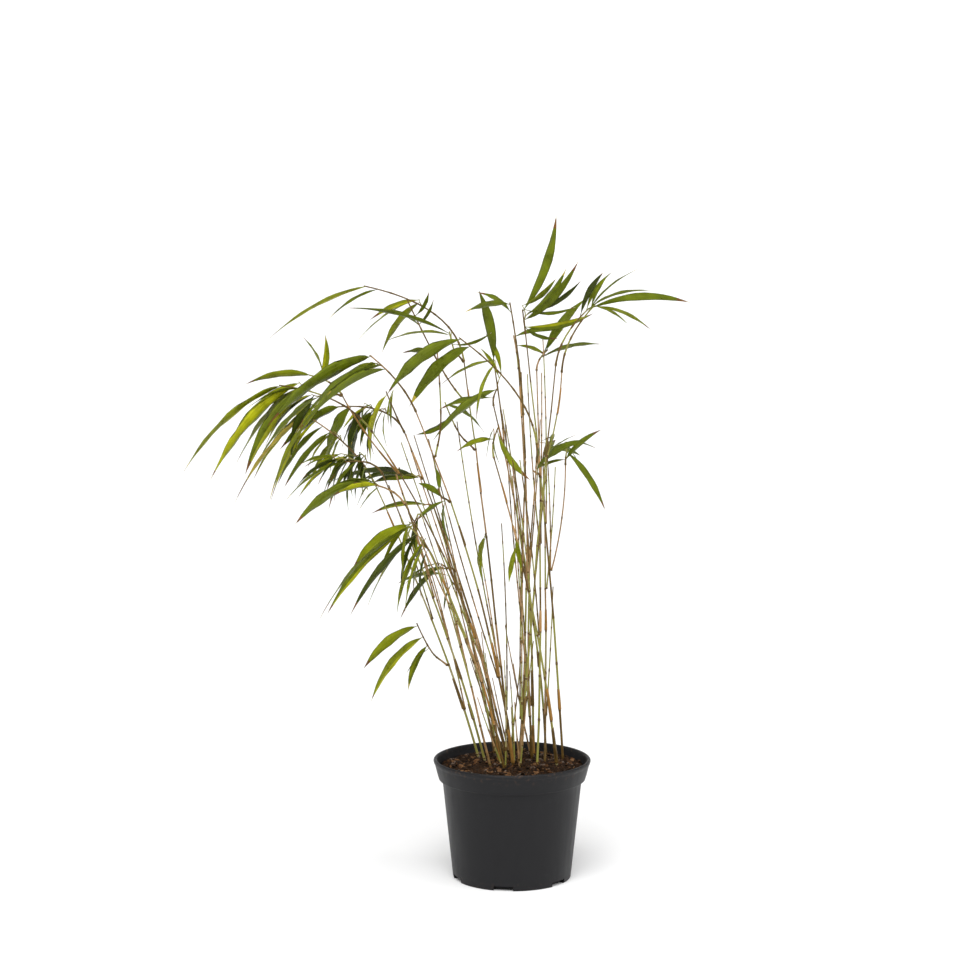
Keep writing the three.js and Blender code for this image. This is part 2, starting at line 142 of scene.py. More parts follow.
# Finer growth that the solids leave out: small twigs with two young leaves each. A mass whose longest blade is
# under the least grows none. Spreads, turns and rises are in degrees.
FINE = SimpleNamespace(
    least=62, length=13, straight=6, spread=40, twig_turn=30, twig_rise=40, each=2, blade=0.56, shortest=30,
    longest=76, slimmest=0.11, broadest=0.15, blade_spread=26, blade_turn=40, blade_rise=24, roll=40,
    roll_jitter=30, clear=2.2, tries=10, box_spare=3.0)
# Thin stems that run up beside a culm, and short shoots from the compost beside each crowded culm: how many
# each, their length, how far they lean from it, and their radius at the foot and the tip.
SIDE_STEM = SimpleNamespace(each=2, shortest=120, longest=320, lean=4, foot=0.9, tip=0.6)
SHOOT = SimpleNamespace(each=2, shortest=50, longest=150, lean=9, foot=1.0, tip=0.5)
CROWDED = range(3, 12)

# How strongly a stem that leaves a node sets out along its culm before it turns to its own heading.
STEM_LIFT = 36.0
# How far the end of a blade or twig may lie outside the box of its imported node.
REACH_SPARE = 2.5
# Numbers from which limbs and thin stems own the points that they take, past those of the masses.
LIMB_OWNER, STEM_OWNER = 1000, 2000

LEAF_STATIONS = (0, 0.02, 0.05, 0.09, 0.15, 0.22, 0.3, 0.39, 0.48, 0.57, 0.66, 0.74, 0.81, 0.87, 0.92, 0.96, 1)
# Leaf finishes, in the order that the blade tree takes them, and the ones dealt for each shade. Deep is partly
# the darker green of old leaves and partly painted shade for leaves inside dense clusters; fresh and lime are
# lighter greens that are partly painted light on leaves that catch it.
DEEP, MID, FRESH, LIME, STRAW, DRY, BLEACHED = range(7)
SHADES = {
    "deep": (DEEP, DEEP, MID, DEEP, MID),
    "mid": (MID, DEEP, MID, FRESH, MID),
    "fresh": (FRESH, MID, FRESH, FRESH, MID),
    "pale": (LIME, FRESH, STRAW, MID, FRESH),
}
# Cane finishes, in the order that the cane tree takes them; the ones dealt to a culm's internodes for each
# tone; and each culm's tone.
OLIVE, GREEN, GREY, BROWN, RING, PINK, SHEATH, PAPER = range(8)
TONES = {
    "green": (GREEN, OLIVE, GREEN, GREEN, BROWN), "olive": (OLIVE, GREY, OLIVE, BROWN, GREEN),
    "grey": (GREY, OLIVE, GREY, PINK, OLIVE), "brown": (BROWN, PINK, BROWN, OLIVE, SHEATH),
}
CULM_TONES = ("grey", "olive", "grey", "olive", "brown", "brown", "brown", "olive", "brown",
              "brown", "grey", "brown", "green", "olive", "green", "grey", "green", "green")


def direction(heading, rise):
    turn, up = math.radians(heading), math.radians(rise)
    return np.array([math.cos(up) * math.cos(turn), math.cos(up) * math.sin(turn), math.sin(up)])


def unit(vector):
    return vector / np.linalg.norm(vector)


def turned(vector, axis, angle):
    """vector turned about a unit axis by an angle in radians."""
    c, s = math.cos(angle), math.sin(angle)
    return vector * c + np.cross(axis, vector) * s + axis * np.dot(axis, vector) * (1 - c)


def seeded_random(seed):
    """The linear congruential generator that the model's source uses."""
    state = seed * 7919

    def draw():
        nonlocal state
        state = (state * 1664525 + 1013904223) % 4294967296
        return state / 4294967296

    for _ in range(4):
        draw()
    return draw


class Bend:
    """A quadratic curve from start to end."""

    def __init__(self, start, control, end):
        self.start, self.control, self.end = (np.array(p, float) for p in (start, control, end))

    def points(self, shares):
        t = np.asarray(shares, float)[:, None]
        return (1 - t) ** 2 * self.start + 2 * (1 - t) * t * self.control + t * t * self.end

    def point(self, share):
        return self.points([share])[0]

    def tangent(self, share):
        low, high = max(share - 1e-4, 0), min(share + 1e-4, 1)
        return unit(self.point(high) - self.point(low))


class Limb:
    """A culm or a side branch."""

    def __init__(self, name, start, tip, bow, foot_radius):
        self.name = name
        self.curve = Bend(start, (start + tip) / 2 + np.array([2 * bow, 0, 0]), tip)
        self.reach = float(np.linalg.norm(tip - start))
        self.nodes = max(2, int(self.reach / LIMB.internode + 0.5))
        self.foot_radius = foot_radius

    def radius(self, share):
        return self.foot_radius + (LIMB.tip - self.foot_radius) * share


def make_culm(index, row):
    foot_x, foot_y, tip_x, tip_y, tip_z, bow = row
    lean = math.hypot(tip_x - foot_x, tip_y - foot_y) / (tip_z - SOIL_TOP)
    start = np.array([foot_x, foot_y, SOIL_TOP + JOINT_GAP + LIMB.culm_foot * lean])
    tip = np.array([tip_x, tip_y, tip_z], float)
    return Limb(f"culm_{index + 1:02d}", start, tip, bow, LIMB.culm_foot)


def leave(limb, node, way):
    """Where a stem that points a given way starts on its limb, and the way it sets out."""
    if node == TIP:
        along = limb.curve.tangent(1)
        return limb.curve.point(1) + along * JOINT_GAP, along, along
    share = node / limb.nodes
    axis = limb.curve.tangent(share)
    out = unit(way - axis * np.dot(way, axis))
    start = limb.curve.point(share) + out * (limb.radius(share) * LIMB.swell + JOINT_GAP)
    return start, unit(out + 0.5 * axis), out


def make_branch(limbs, index, row):
    culm, node, tip_x, tip_y, tip_z, bow = row
    parent, tip = limbs[culm - 1], np.array([tip_x, tip_y, tip_z], float)
    start, _, out = leave(parent, node, tip - parent.curve.point(node / parent.nodes))
    start = start + out * 0.7 * LIMB.branch_foot
    return Limb(f"side_branch_{index + 1}", start, tip, bow, LIMB.branch_foot)


def make_twig(start, along, end, straight):
    length = float(np.linalg.norm(end - start))
    curve = Bend(start, start + along * min(straight, 0.45 * length), end)
    return SimpleNamespace(curve=curve, length=length, root=None, lift=None)


def make_blade(base, length, half_width, heading, rise, roll):
    chord, first = direction(heading, rise), direction(heading, rise + RULE.bend)
    midrib = Bend(base, base + first * length / 2, base + chord * length)
    level = np.array([math.sin(math.radians(heading)), -math.cos(math.radians(heading)), 0])
    across = turned(level, chord, math.radians(roll))
    return SimpleNamespace(midrib=midrib, across=across, face=np.cross(across, chord), half_width=half_width,
                           length=length, spray=0)


def outline(share):
    return np.sin(np.pi * np.clip(share, 0, 1) ** 0.72).clip(0) ** 0.8


def blade_points(blade):
    shares = np.arange(CLEAR.along + 1) / CLEAR.along
    widths = blade.half_width * outline(shares)
    spots, at = [], []
    for j in range(-CLEAR.across_half, CLEAR.across_half + 1):
        x = j / CLEAR.across_half
        offset = np.outer(widths * x, blade.across) + np.outer(RULE.fold * widths * abs(x), blade.face)
        spots.append(blade.midrib.points(shares) + offset)
        at.append(shares)
    return np.concatenate(spots), np.concatenate(at)


def curve_points(curve, length):
    steps = math.ceil(length / CLEAR.limb_step)
    shares = np.arange(steps + 1) / steps
    return curve.points(shares), shares


class TakenSpace:
    """Points of everything grown so far, and whether a new shape keeps its distance from them."""

    def __init__(self):
        self.spots, self.at = np.zeros((0, 3)), np.zeros(0)
        self.owner, self.is_blade = np.zeros(0, int), np.zeros(0, bool)

    def take(self, spots, at, owner, is_blade):
        self.spots = np.concatenate([self.spots, spots])
        self.at = np.concatenate([self.at, at])
        self.owner = np.concatenate([self.owner, np.full(len(at), owner)])
        self.is_blade = np.concatenate([self.is_blade, np.full(len(at), is_blade)])

    def is_free(self, spots, at, owner, shrink=1.0):
        if (spots[:, 2] < CLEAR.lowest).any():
            return False
        spare = CLEAR.blade
        near = ((self.spots > spots.min(0) - spare) & (self.spots < spots.max(0) + spare)).all(1)
        if not near.any():
            return True
        own, blade, other_at = self.owner[near] == owner, self.is_blade[near], self.at[near]
        apart = ((spots[:, None] - self.spots[near][None]) ** 2).sum(2)
        reach = np.where(own, CLEAR.same_mass, np.where(blade, CLEAR.blade, CLEAR.limb)) * shrink
        at_root = np.minimum(at[:, None], other_at[None]) < CLEAR.root_share
        skipped = own[None] & (at_root | ~blade[None])
        return not ((apart < reach[None] ** 2) & ~skipped).any()


def jitter_from(draw):
    """Turns a generator into one that gives a number evenly up to an amount either way."""
    return lambda amount: amount * (2 * draw() - 1)


def grow_mass(limbs, taken, index, row):
    """One mass by the source's rule: its twigs and its blades, each blade with the twig that it sits on."""
    limb_number, node, length, heading, rise, count, *sizes = row
    first_length, last_length, breadth, blade_heading, first_rise, last_rise, shade = sizes
    draw = seeded_random(index + 1)
    jitter = jitter_from(draw)
    limb, way = limbs[limb_number - 1], direction(heading, rise)
    start, along, _ = leave(limb, node, way)
    straight = TWIG.straight_at_tip if node == TIP else TWIG.straight_at_node
    stem = make_twig(start, along, start + way * length, straight)
    stem.root = limb.curve.point(1 if node == TIP else node / limb.nodes)
    if node != TIP:
        stem.lift = limb.curve.tangent(node / limb.nodes) * STEM_LIFT
    twigs = [stem]
    taken.take(*curve_points(stem.curve, stem.length), index, False)

    side_twigs = math.ceil(count / RULE.blades_per_twig) - 1
    for k in range(1, side_twigs + 1):
        share = RULE.first_twig_at + (RULE.last_twig_at - RULE.first_twig_at) * (k - 0.5) / side_twigs
        hand = 1 if k % 2 == 0 else -1
        reach = max(RULE.shortest_twig, RULE.twig_length * length)
        for attempt in range(RULE.tries):
            wander = RULE.turn_per_try * attempt
            turn = heading + hand * RULE.twig_spread + jitter(RULE.heading_jitter + wander)
            lift = rise + jitter(RULE.rise_jitter + wander)
            root = stem.curve.point(share)
            end = root + direction(turn, lift) * reach
            twig = make_twig(root, stem.curve.tangent(share), end, TWIG.straight_at_node)
            spots, at = curve_points(twig.curve, twig.length)
            if taken.is_free(spots, at, index):
                twigs.append(twig)
                taken.take(spots, at, index, False)
                break

    blades = []
    for k in range(count):
        spray = k % len(twigs)
        twig = twigs[spray]
        back = RULE.root_depth + (k // len(twigs)) * RULE.blade_spacing
        at = max(RULE.lowest_blade, 1 - back / twig.length)
        hand = 1 if k % 2 == 0 else -1
        share = k / (count - 1) if count > 1 else 0
        size = first_length + (last_length - first_length) * share
        size *= 1 + (jitter(RULE.size_jitter) if k > 0 else 0)
        half_width = breadth / 2 * math.sqrt(size / first_length) * (1 + jitter(RULE.breadth_jitter))
        for attempt in range(RULE.tries):
            turn = (blade_heading + hand * RULE.blade_spread
                    + jitter(RULE.heading_jitter + RULE.turn_per_try * attempt))
            lift = (first_rise + (last_rise - first_rise) * share
                    + jitter(RULE.rise_jitter + RULE.rise_per_try * attempt))
            roll = hand * (RULE.roll + jitter(RULE.roll_jitter))
            blade = make_blade(twig.curve.point(at), size, half_width, turn, lift, roll)
            spots, shares = blade_points(blade)
            if taken.is_free(spots, shares, index):
                blade.spray = spray
                blades.append(blade)
                taken.take(spots, shares, index, True)
                break
    return SimpleNamespace(index=index, name=f"foliage_{index + 1:02d}", shade=shade, stem=stem, twigs=twigs,
                           blades=blades, row=row)


def grow_finer(taken, mass):
    """Young twigs with small leaves, by the same rule and no further than a little past the mass's own box."""
    index = mass.index
    _, _, _, heading, rise, count, *sizes = mass.row
    longest, blade_heading, first_rise, last_rise = max(sizes[:2]), *sizes[3:6]
    draw = seeded_random(500 + index)
    jitter = jitter_from(draw)
    low, high = (np.array(corner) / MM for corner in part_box(mass.name))
    low, high = low - FINE.box_spare, high + FINE.box_spare
    times = 0 if longest < FINE.least else 2 * count if mass.shade == "deep" else (count + 1) // 2

    def fits(spots, shares):
        inside = ((spots > low) & (spots < high)).all()
        return inside and taken.is_free(spots, shares, index, FINE.clear / CLEAR.same_mass)

    for k in range(times):
        parent = mass.twigs[k % len(mass.twigs)]
        share = 0.35 + 0.5 * draw()
        root, axis = parent.curve.point(share), parent.curve.tangent(share)
        for _ in range(FINE.tries):
            turn = heading + (1 if k % 2 else -1) * (FINE.spread + jitter(FINE.twig_turn))
            end = root + direction(turn, rise + jitter(FINE.twig_rise)) * FINE.length * (0.7 + 0.6 * draw())
            twig = make_twig(root, axis, end, FINE.straight)
            spots, shares = curve_points(twig.curve, twig.length)
            if fits(spots, shares):
                break
        else:
            continue
        mass.twigs.append(twig)
        taken.take(spots, shares, index, False)
        for number in range(FINE.each):
            hand = 1 if number else -1
            for _ in range(FINE.tries):
                size = min(FINE.longest, max(FINE.shortest, FINE.blade * longest)) * (0.75 + 0.5 * draw())
                turn = blade_heading + hand * (FINE.blade_spread + jitter(FINE.blade_turn))
                lift = first_rise + (last_rise - first_rise) * draw() + jitter(FINE.blade_rise)
                base = twig.curve.point(1 - 0.25 * number)
                roll = hand * (FINE.roll + jitter(FINE.roll_jitter))
                half_width = size / 2 * (FINE.slimmest + (FINE.broadest - FINE.slimmest) * draw())
                blade = make_blade(base, size, half_width, turn, lift, roll)
                spots, shares = blade_points(blade)
                if fits(spots, shares):
                    blade.spray = len(mass.twigs) - 1
                    mass.blades.append(blade)
                    taken.take(spots, shares, index, True)
                    break


def grow_side_stems(limbs):
    """Thin stems nearly along each culm, and short shoots at the foot of each crowded one."""
    stems = []
    for index, limb in enumerate(limbs[:len(CULMS)]):
        draw = seeded_random(900 + index)
        kinds = [SIDE_STEM] * SIDE_STEM.each + [SHOOT] * (SHOOT.each if index in CROWDED else 0)
        for kind in kinds:
            node = 1 + int(draw() * max(1, limb.nodes - 3))
            share = node / limb.nodes if kind is SIDE_STEM else 0.02 * draw()
            axis = limb.curve.tangent(share)
            side = unit(np.cross(axis, direction(360 * draw(), 10)))
            start = limb.curve.point(share) + side * limb.radius(share)
            length = kind.shortest + (kind.longest - kind.shortest) * draw()
            length = min(length, limb.reach * (1 - share) * 0.98)
            lean = math.radians(kind.lean * (0.5 + draw()))
            end = start + unit(axis * math.cos(lean) + side * math.sin(lean)) * length
            middle = (start + end) / 2 + side * length * 0.02 + np.array([0, 0, 0.01 * length])
            stems.append(SimpleNamespace(
                curve=Bend(start, middle, end), length=length, culm=index, foot=kind.foot, tip=kind.tip,
                shade=draw(), root=None, lift=None))
    return stems


@functools.lru_cache(maxsize=1)
def plant():
    """The whole plant: limbs, masses of foliage and thin side stems, grown in the source's order."""
    limbs = [make_culm(index, row) for index, row in enumerate(CULMS)]
    for index, row in enumerate(BRANCHES):
        limbs.append(make_branch(limbs, index, row))
    taken = TakenSpace()
    for number, limb in enumerate(limbs):
        taken.take(*curve_points(limb.curve, limb.reach), LIMB_OWNER + number, False)
    masses = [grow_mass(limbs, taken, index, row) for index, row in enumerate(FOLIAGE)]
    for mass in masses:
        check_reach(mass)
    side_stems = grow_side_stems(limbs)
    for stem in side_stems:
        taken.take(*curve_points(stem.curve, stem.length), STEM_OWNER + stem.culm, False)
    for mass in masses:
        grow_finer(taken, mass)
    return SimpleNamespace(limbs=limbs, masses=masses, side_stems=side_stems)


def check_reach(mass):
    """Stops if an end of a twig or blade grown by the source's rule lies outside the box of its node."""
    ends = [blade.midrib.end for blade in mass.blades] + [twig.curve.end for twig in mass.twigs]
    ends = np.array([*ends, mass.stem.curve.start])
    low, high = (np.array(corner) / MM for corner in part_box(mass.name))
    if (ends < low - REACH_SPARE).any() or (ends > high + REACH_SPARE).any():
        raise RuntimeError(f"{mass.name} grows outside its node: {ends.min(0)} {ends.max(0)} in {low} {high}")


# ---- Small makers --------------------------------------------------------------------------------------


def settings(name):
    return getattr(bpy.context.scene, name)


def add_object(name, mesh):
    piece = bpy.data.objects.new(name, mesh)
    bpy.context.scene.collection.objects.link(piece)
    return piece


def hand_over(piece, nodes):
    """Hangs a finished piece on its body, and hides the imported parts that it stands for."""
    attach(piece, BODY)
    if nodes:
        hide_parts(*nodes)


def strands_mesh(name, strands):
    """A mesh of open lines. Each strand is a dictionary of arrays: points in metres, and its attributes."""
    mesh = bpy.data.meshes.new(name)
    points = np.concatenate([s["points"] for s in strands])
    edges, first = [], 0
    for strand in strands:
        count = len(strand["points"])
        edges += [(first + i, first + i + 1) for i in range(count - 1)]
        first += count
    mesh.from_pydata(points.tolist(), edges, [])
    for key in [k for k in strands[0] if k != "points"]:
        values = np.concatenate([np.asarray(s[key]) for s in strands])
        kind, field = ("INT", "value") if values.dtype.kind == "i" else ("FLOAT", "value")
        if values.ndim == 2:
            kind, field = "FLOAT_VECTOR", "vector"
        mesh.attributes.new(key, kind, "POINT").data.foreach_set(field, values.ravel())
    return mesh


def run_tree(name, mesh, tree, values, keep=()):
    """Runs a geometry tree on a mesh and returns the result as a plain object. values go in by socket name."""
    source = add_object(name + "_source", mesh)
    modifier = source.modifiers.new("Tree", "NODES")
    modifier.node_group = tree
    sockets = {item.name: item.identifier for item in tree.interface.items_tree if item.in_out == "INPUT"}
    for key, value in values.items():
        modifier[sockets[key]] = value
    graph = bpy.context.evaluated_depsgraph_get()
    result = bpy.data.meshes.new_from_object(
        source.evaluated_get(graph), preserve_all_data_layers=True, depsgraph=graph)
    source.modifiers.remove(modifier)
    bpy.data.objects.remove(source)
    wanted = {"material_index", "sharp_face", "position", *keep}
    spare = [a.name for a in result.attributes if not (a.name in wanted or a.is_internal or a.is_required)]
    for attribute in spare:
        result.attributes.remove(result.attributes[attribute])
    result.name = name
    return add_object(name, result)


class Nodes:
    """Short calls for adding nodes to a tree and joining them."""

    def __init__(self, tree):
        self.tree, self.nodes, self.links = tree, tree.nodes, tree.links

    def join(self, socket, value):
        """Links a socket to another one or to a node's first output, or gives it a plain value."""
        if isinstance(value, bpy.types.Node):
            value = next(o for o in value.outputs if o.enabled)
        if isinstance(value, bpy.types.NodeSocket):
            self.links.new(value, socket)
        else:
            socket.default_value = value

    def add(self, kind, **named):
        """A new node. A name with a capital is a socket, _ standing for a space; any other is a setting."""
        made = self.nodes.new(kind)
        for key, value in named.items():
            if key[0].islower():
                setattr(made, key, value)
        for key, value in named.items():
            if not key[0].islower():
                name = key.replace("_", " ")
                self.join(next(s for s in made.inputs if s.enabled and s.name == name), value)
        return made

    def math(self, operation, *values):
        made = self.add("ShaderNodeMath", operation=operation)
        for socket, value in zip(made.inputs, values):
            self.join(socket, value)
        return made

    def mix(self, share, first, second):
        """A colour between two others, by a factor."""
        made = self.add("ShaderNodeMix", data_type="RGBA")
        self.join(made.inputs["Factor"], share)
        for name, value in (("A", first), ("B", second)):
            self.join(next(s for s in made.inputs if s.name == name and s.type == "RGBA"), value)
        return next(o for o in made.outputs if o.type == "RGBA")


class Tree(Nodes):
    """A geometry tree or a shader group under construction, with named inputs and outputs."""

    def __init__(self, name, takes, gives=None):
        super().__init__(bpy.data.node_groups.new(name, "ShaderNodeTree" if gives else "GeometryNodeTree"))
        self.start, self.end = self.nodes.new("NodeGroupInput"), self.nodes.new("NodeGroupOutput")
        if not gives:
            takes, gives = {"Geometry": "Geometry", **takes}, {"Geometry": "Geometry"}
        for key, value in takes.items():
            self.take(key, value)
        for key, kind in gives.items():
            self.tree.interface.new_socket(name=key, in_out="OUTPUT", socket_type="NodeSocket" + kind)

    def take(self, name, value):
        """A new input. A word is the input's kind, and anything else its default."""
        kind = value if isinstance(value, str) else {int: "Int", float: "Float", tuple: "Color"}[type(value)]
        socket = self.tree.interface.new_socket(name=name, in_out="INPUT", socket_type="NodeSocket" + kind)
        if not isinstance(value, str):
            socket.default_value = value

    def given(self, name):
        return self.start.outputs[name]

    def vector(self, operation, first, second):
        made = self.add("ShaderNodeVectorMath", operation=operation)
        self.join(made.inputs[0], first)
        self.join(made.inputs[1], second)
        return made

    def scaled(self, vector, factor):
        return self.add("ShaderNodeVectorMath", operation="SCALE", Vector=vector, Scale=factor)

    def attribute(self, name, kind="FLOAT"):
        return self.add("GeometryNodeInputNamedAttribute", data_type=kind, Name=name)

    def choose(self, test, no, yes):
        """One of two whole numbers."""
        return self.add("GeometryNodeSwitch", input_type="INT", Switch=test, **{"False": no, "True": yes})

    def facing(self, angle):
        """A turn about the upright axis."""
        euler = self.add("ShaderNodeCombineXYZ", Z=angle)
        return self.add("FunctionNodeEulerToRotation", Euler=euler)

    def sweep(self, sides, profile, scale):
        """The tree's lines as solids. profile makes their section out of a circle of radius 1."""
        line = self.add("GeometryNodeMeshToCurve", Mesh=self.given("Geometry"))
        circle = self.add("GeometryNodeCurvePrimitiveCircle", Resolution=self.given(sides), Radius=1.0)
        return self.add("GeometryNodeCurveToMesh", Curve=line, Profile_Curve=profile(circle), Scale=scale,
                        Fill_Caps=True)

    def set_material(self, geometry, chosen, name):
        """A material, asked for as an input of the tree, on the faces that are chosen."""
        self.take(name, "Material")
        return self.add("GeometryNodeSetMaterial", Geometry=geometry, Selection=chosen,
                        Material=self.given(name))

    def finish(self, geometry, number, names):
        """Ends the tree: smooth, made real, and with the finish that each face's number asks for."""
        geometry = self.add("GeometryNodeSetShadeSmooth", Geometry=geometry)
        geometry = self.add("GeometryNodeRealizeInstances", Geometry=geometry)
        for index, name in enumerate(names):
            wanted = self.add("FunctionNodeCompare", data_type="INT", operation="EQUAL")
            self.join(wanted.inputs[2], number)
            self.join(wanted.inputs[3], index)
            geometry = self.set_material(geometry, wanted, name)
        self.join(self.end.inputs[0], geometry)
        return self.tree


CANE_FINISHES = ("Olive", "Green", "Grey", "Brown", "Ring", "Pink", "Sheath", "Paper")
LEAF_FINISHES = ("Deep", "Mid", "Fresh", "Lime", "Straw", "Dry", "Bleached")
# Sixteen numbers are dealt to the chips' finishes, the dark ones most often: first and last number of each.
CHIP_FINISHES = (("Dark", 0, 5), ("Brown", 6, 10), ("Russet", 11, 12), ("Tan", 13, 14), ("Pale", 15, 15))


@functools.lru_cache(maxsize=1)
def cane_tree():
    """Sweeps a round section along each line, with its girth, a fine relief and a finish for each stretch."""
    build = Tree("Cane sweep", {"Sides": 8, "Relief": 0.00004, "Relief Scale": 900.0})
    swept = build.sweep("Sides", lambda circle: circle, build.attribute("girth"))
    rough = build.add("ShaderNodeTexNoise", Vector=build.add("GeometryNodeInputPosition"),
                      Scale=build.given("Relief Scale"), Detail=2.0)
    lift = build.math("MULTIPLY", build.math("SUBTRACT", rough, 0.5), build.given("Relief"))
    moved = build.add("GeometryNodeSetPosition", Geometry=swept,
                      Offset=build.scaled(build.add("GeometryNodeInputNormal"), lift))
    return build.finish(moved, build.attribute("finish", "INT"), CANE_FINISHES)


@functools.lru_cache(maxsize=1)
def blade_tree():
    """Lays a folded, tapering blade along each line, from attributes of its points."""
    build = Tree("Leaf blades", {"Section Sides": 8, "Thickness": 0.0004, "Ripple": 0.12, "Ripples": 3.0})

    def marked(circle):
        """The section, with where each of its points lies across the leaf and above it."""
        where = build.add("ShaderNodeSeparateXYZ", Vector=build.add("GeometryNodeInputPosition"))
        for name, axis in (("across", "X"), ("upper", "Y")):
            circle = build.add("GeometryNodeStoreNamedAttribute", Geometry=circle, Name=name,
                               Value=where.outputs[axis])
        return circle

    swept = build.sweep("Section Sides", marked, 0.001)
    across, upper = build.attribute("across"), build.attribute("upper")
    half, along = build.attribute("half_width"), build.attribute("along")
    outward = build.math("ABSOLUTE", across)
    sideways = build.scaled(build.attribute("side", "FLOAT_VECTOR"), build.math("MULTIPLY", across, half))
    phase = build.math("ADD", build.math("MULTIPLY", along, build.given("Ripples")), build.attribute("phase"))
    wave = build.math("SINE", build.math("MULTIPLY", phase, 2 * math.pi))
    edge = build.math("MULTIPLY", build.math("MULTIPLY", outward, across), build.given("Ripple"))
    rise = build.math("MULTIPLY", half, build.math(
        "ADD", build.math("MULTIPLY", outward, build.attribute("fold")), build.math("MULTIPLY", wave, edge)))
    thick = build.math("MULTIPLY", build.math("MULTIPLY", upper, 0.5), build.given("Thickness"))
    upward = build.scaled(build.attribute("face", "FLOAT_VECTOR"), build.math("ADD", rise, thick))
    centre = build.attribute("centre", "FLOAT_VECTOR")
    placed = build.add("GeometryNodeSetPosition", Geometry=swept,
                       Position=build.vector("ADD", centre, build.vector("ADD", sideways, upward)))
    number = build.choose(build.math("LESS_THAN", across, 0.0), build.attribute("finish_right", "INT"),
                          build.attribute("finish_left", "INT"))
    number = build.choose(build.math("GREATER_THAN", along, build.attribute("dry_from")), number,
                          build.attribute("finish_tip", "INT"))
    number = build.choose(build.math("GREATER_THAN", along, build.attribute("dead_from")), number, BLEACHED)
    return build.finish(placed, number, LEAF_FINISHES)


@functools.lru_cache(maxsize=1)
def chip_tree():
    """Strews shards of bark over a surface, each turned, sized and broken differently."""
    build = Tree("Bark chips", {
        "Density": 30000.0, "Spacing": 0.003, "Chip Length": 0.009, "Roughness": 0.35, "Tilt": 0.5, "Facets": 2,
        "Seed": 11})
    seed, tilt, length = (build.given(name) for name in ("Seed", "Tilt", "Chip Length"))
    points = build.add(
        "GeometryNodeDistributePointsOnFaces", distribute_method="POISSON", Mesh=build.given("Geometry"),
        Selection=build.math("GREATER_THAN", build.attribute("strewn"), 0.5),
        Distance_Min=build.given("Spacing"), Density_Max=build.given("Density"), Seed=seed)
    shard = build.add("GeometryNodeMeshIcoSphere", Radius=0.5, Subdivisions=build.given("Facets"))

    def chance(kind, low, high, number):
        made = build.add("FunctionNodeRandomValue", data_type=kind, Seed=build.math("ADD", seed, number))
        ends = (s for s in made.inputs if s.enabled and s.name in ("Min", "Max"))
        for socket, value in zip(ends, (low, high)):
            build.join(socket, value)
        return made

    lean = build.add("ShaderNodeCombineXYZ", X=tilt, Y=tilt, Z=math.pi)
    turn = chance("FLOAT_VECTOR", build.scaled(lean, -1.0), lean, 2)
    strewn = build.add(
        "GeometryNodeInstanceOnPoints", Points=points, Instance=shard,
        Scale=build.scaled(chance("FLOAT_VECTOR", (0.45, 0.22, 0.1), (1.25, 0.62, 0.34), 1), length),
        Rotation=build.add("FunctionNodeEulerToRotation", Euler=turn))
    last_number = CHIP_FINISHES[-1][2]
    marked = build.add("GeometryNodeStoreNamedAttribute", data_type="INT", domain="INSTANCE", Geometry=strewn,
                       Name="finish", Value=chance("INT", 0, last_number, 3))
    whole = build.add("GeometryNodeRealizeInstances", Geometry=marked)
    rough = build.add("ShaderNodeTexNoise", Vector=build.add("GeometryNodeInputPosition"), Scale=330.0,
                      Detail=1.0)
    push = build.scaled(build.vector("SUBTRACT", rough.outputs["Color"], (0.5, 0.5, 0.5)),
                        build.math("MULTIPLY", length, build.given("Roughness")))
    broken = build.add("GeometryNodeSetPosition", Geometry=whole, Offset=push)
    geometry = build.add("GeometryNodeSetShadeSmooth", Geometry=broken, Shade_Smooth=False)
    number = build.attribute("finish", "INT")
    for name, first, last in CHIP_FINISHES:
        dealt = build.math("MULTIPLY", build.math("GREATER_THAN", number, first - 0.5),
                           build.math("LESS_THAN", number, last + 0.5))
        geometry = build.set_material(geometry, dealt, name)
    build.join(build.end.inputs[0], geometry)
    return build.tree


@functools.lru_cache(maxsize=1)
def notch_tree():
    """Cuts drainage notches through the foot of the pot's wall, evenly round it."""
    build = Tree("Foot notches", {
        "Notches": 6, "Foot Radius": 0.064, "First Angle": 0.0, "Cutter": "Vector"})
    notches = build.given("Notches")
    ring = build.add("GeometryNodeMeshCircle", Vertices=notches, Radius=build.given("Foot Radius"))
    step = build.math("DIVIDE", 2 * math.pi, notches)
    cutters = build.add(
        "GeometryNodeInstanceOnPoints", Points=ring,
        Instance=build.add("GeometryNodeMeshCube", Size=build.given("Cutter")),
        Rotation=build.facing(build.math("MULTIPLY", build.add("GeometryNodeInputIndex"), step)))
    placed = build.add("GeometryNodeTransform", Geometry=cutters,
                       Rotation=build.facing(build.given("First Angle")))
    solid = build.add("GeometryNodeRealizeInstances", Geometry=placed)
    cut = build.add("GeometryNodeMeshBoolean", operation="DIFFERENCE", solver="EXACT",
                    Mesh_1=build.given("Geometry"), Mesh_2=solid)
    build.join(build.end.inputs[0], build.set_material(cut, True, "Plastic"))
    return build.tree


# ---- Finishes ------------------------------------------------------------------------------------------


@functools.lru_cache(maxsize=1)
def mottle_group():
    """Two colours drifting into each other, and the mask between them."""
    build = Tree("Mottle", {
        "Vector": "Vector", "Scale": 200.0, "Detail": 3.0, "Low": 0.35, "High": 0.65,
        "Base": (0.1, 0.1, 0.1, 1), "Second": (0.2, 0.2, 0.2, 1)}, {"Color": "Color", "Mask": "Float"})
    cloud = build.add("ShaderNodeTexNoise", Vector=build.given("Vector"), Scale=build.given("Scale"),
                      Detail=build.given("Detail"))
    mask = build.add("ShaderNodeMapRange", Value=cloud, From_Min=build.given("Low"),
                     From_Max=build.given("High"))
    mixed = build.mix(mask, build.given("Base"), build.given("Second"))
    build.join(build.end.inputs["Color"], mixed)
    build.join(build.end.inputs["Mask"], mask)
    return build.tree


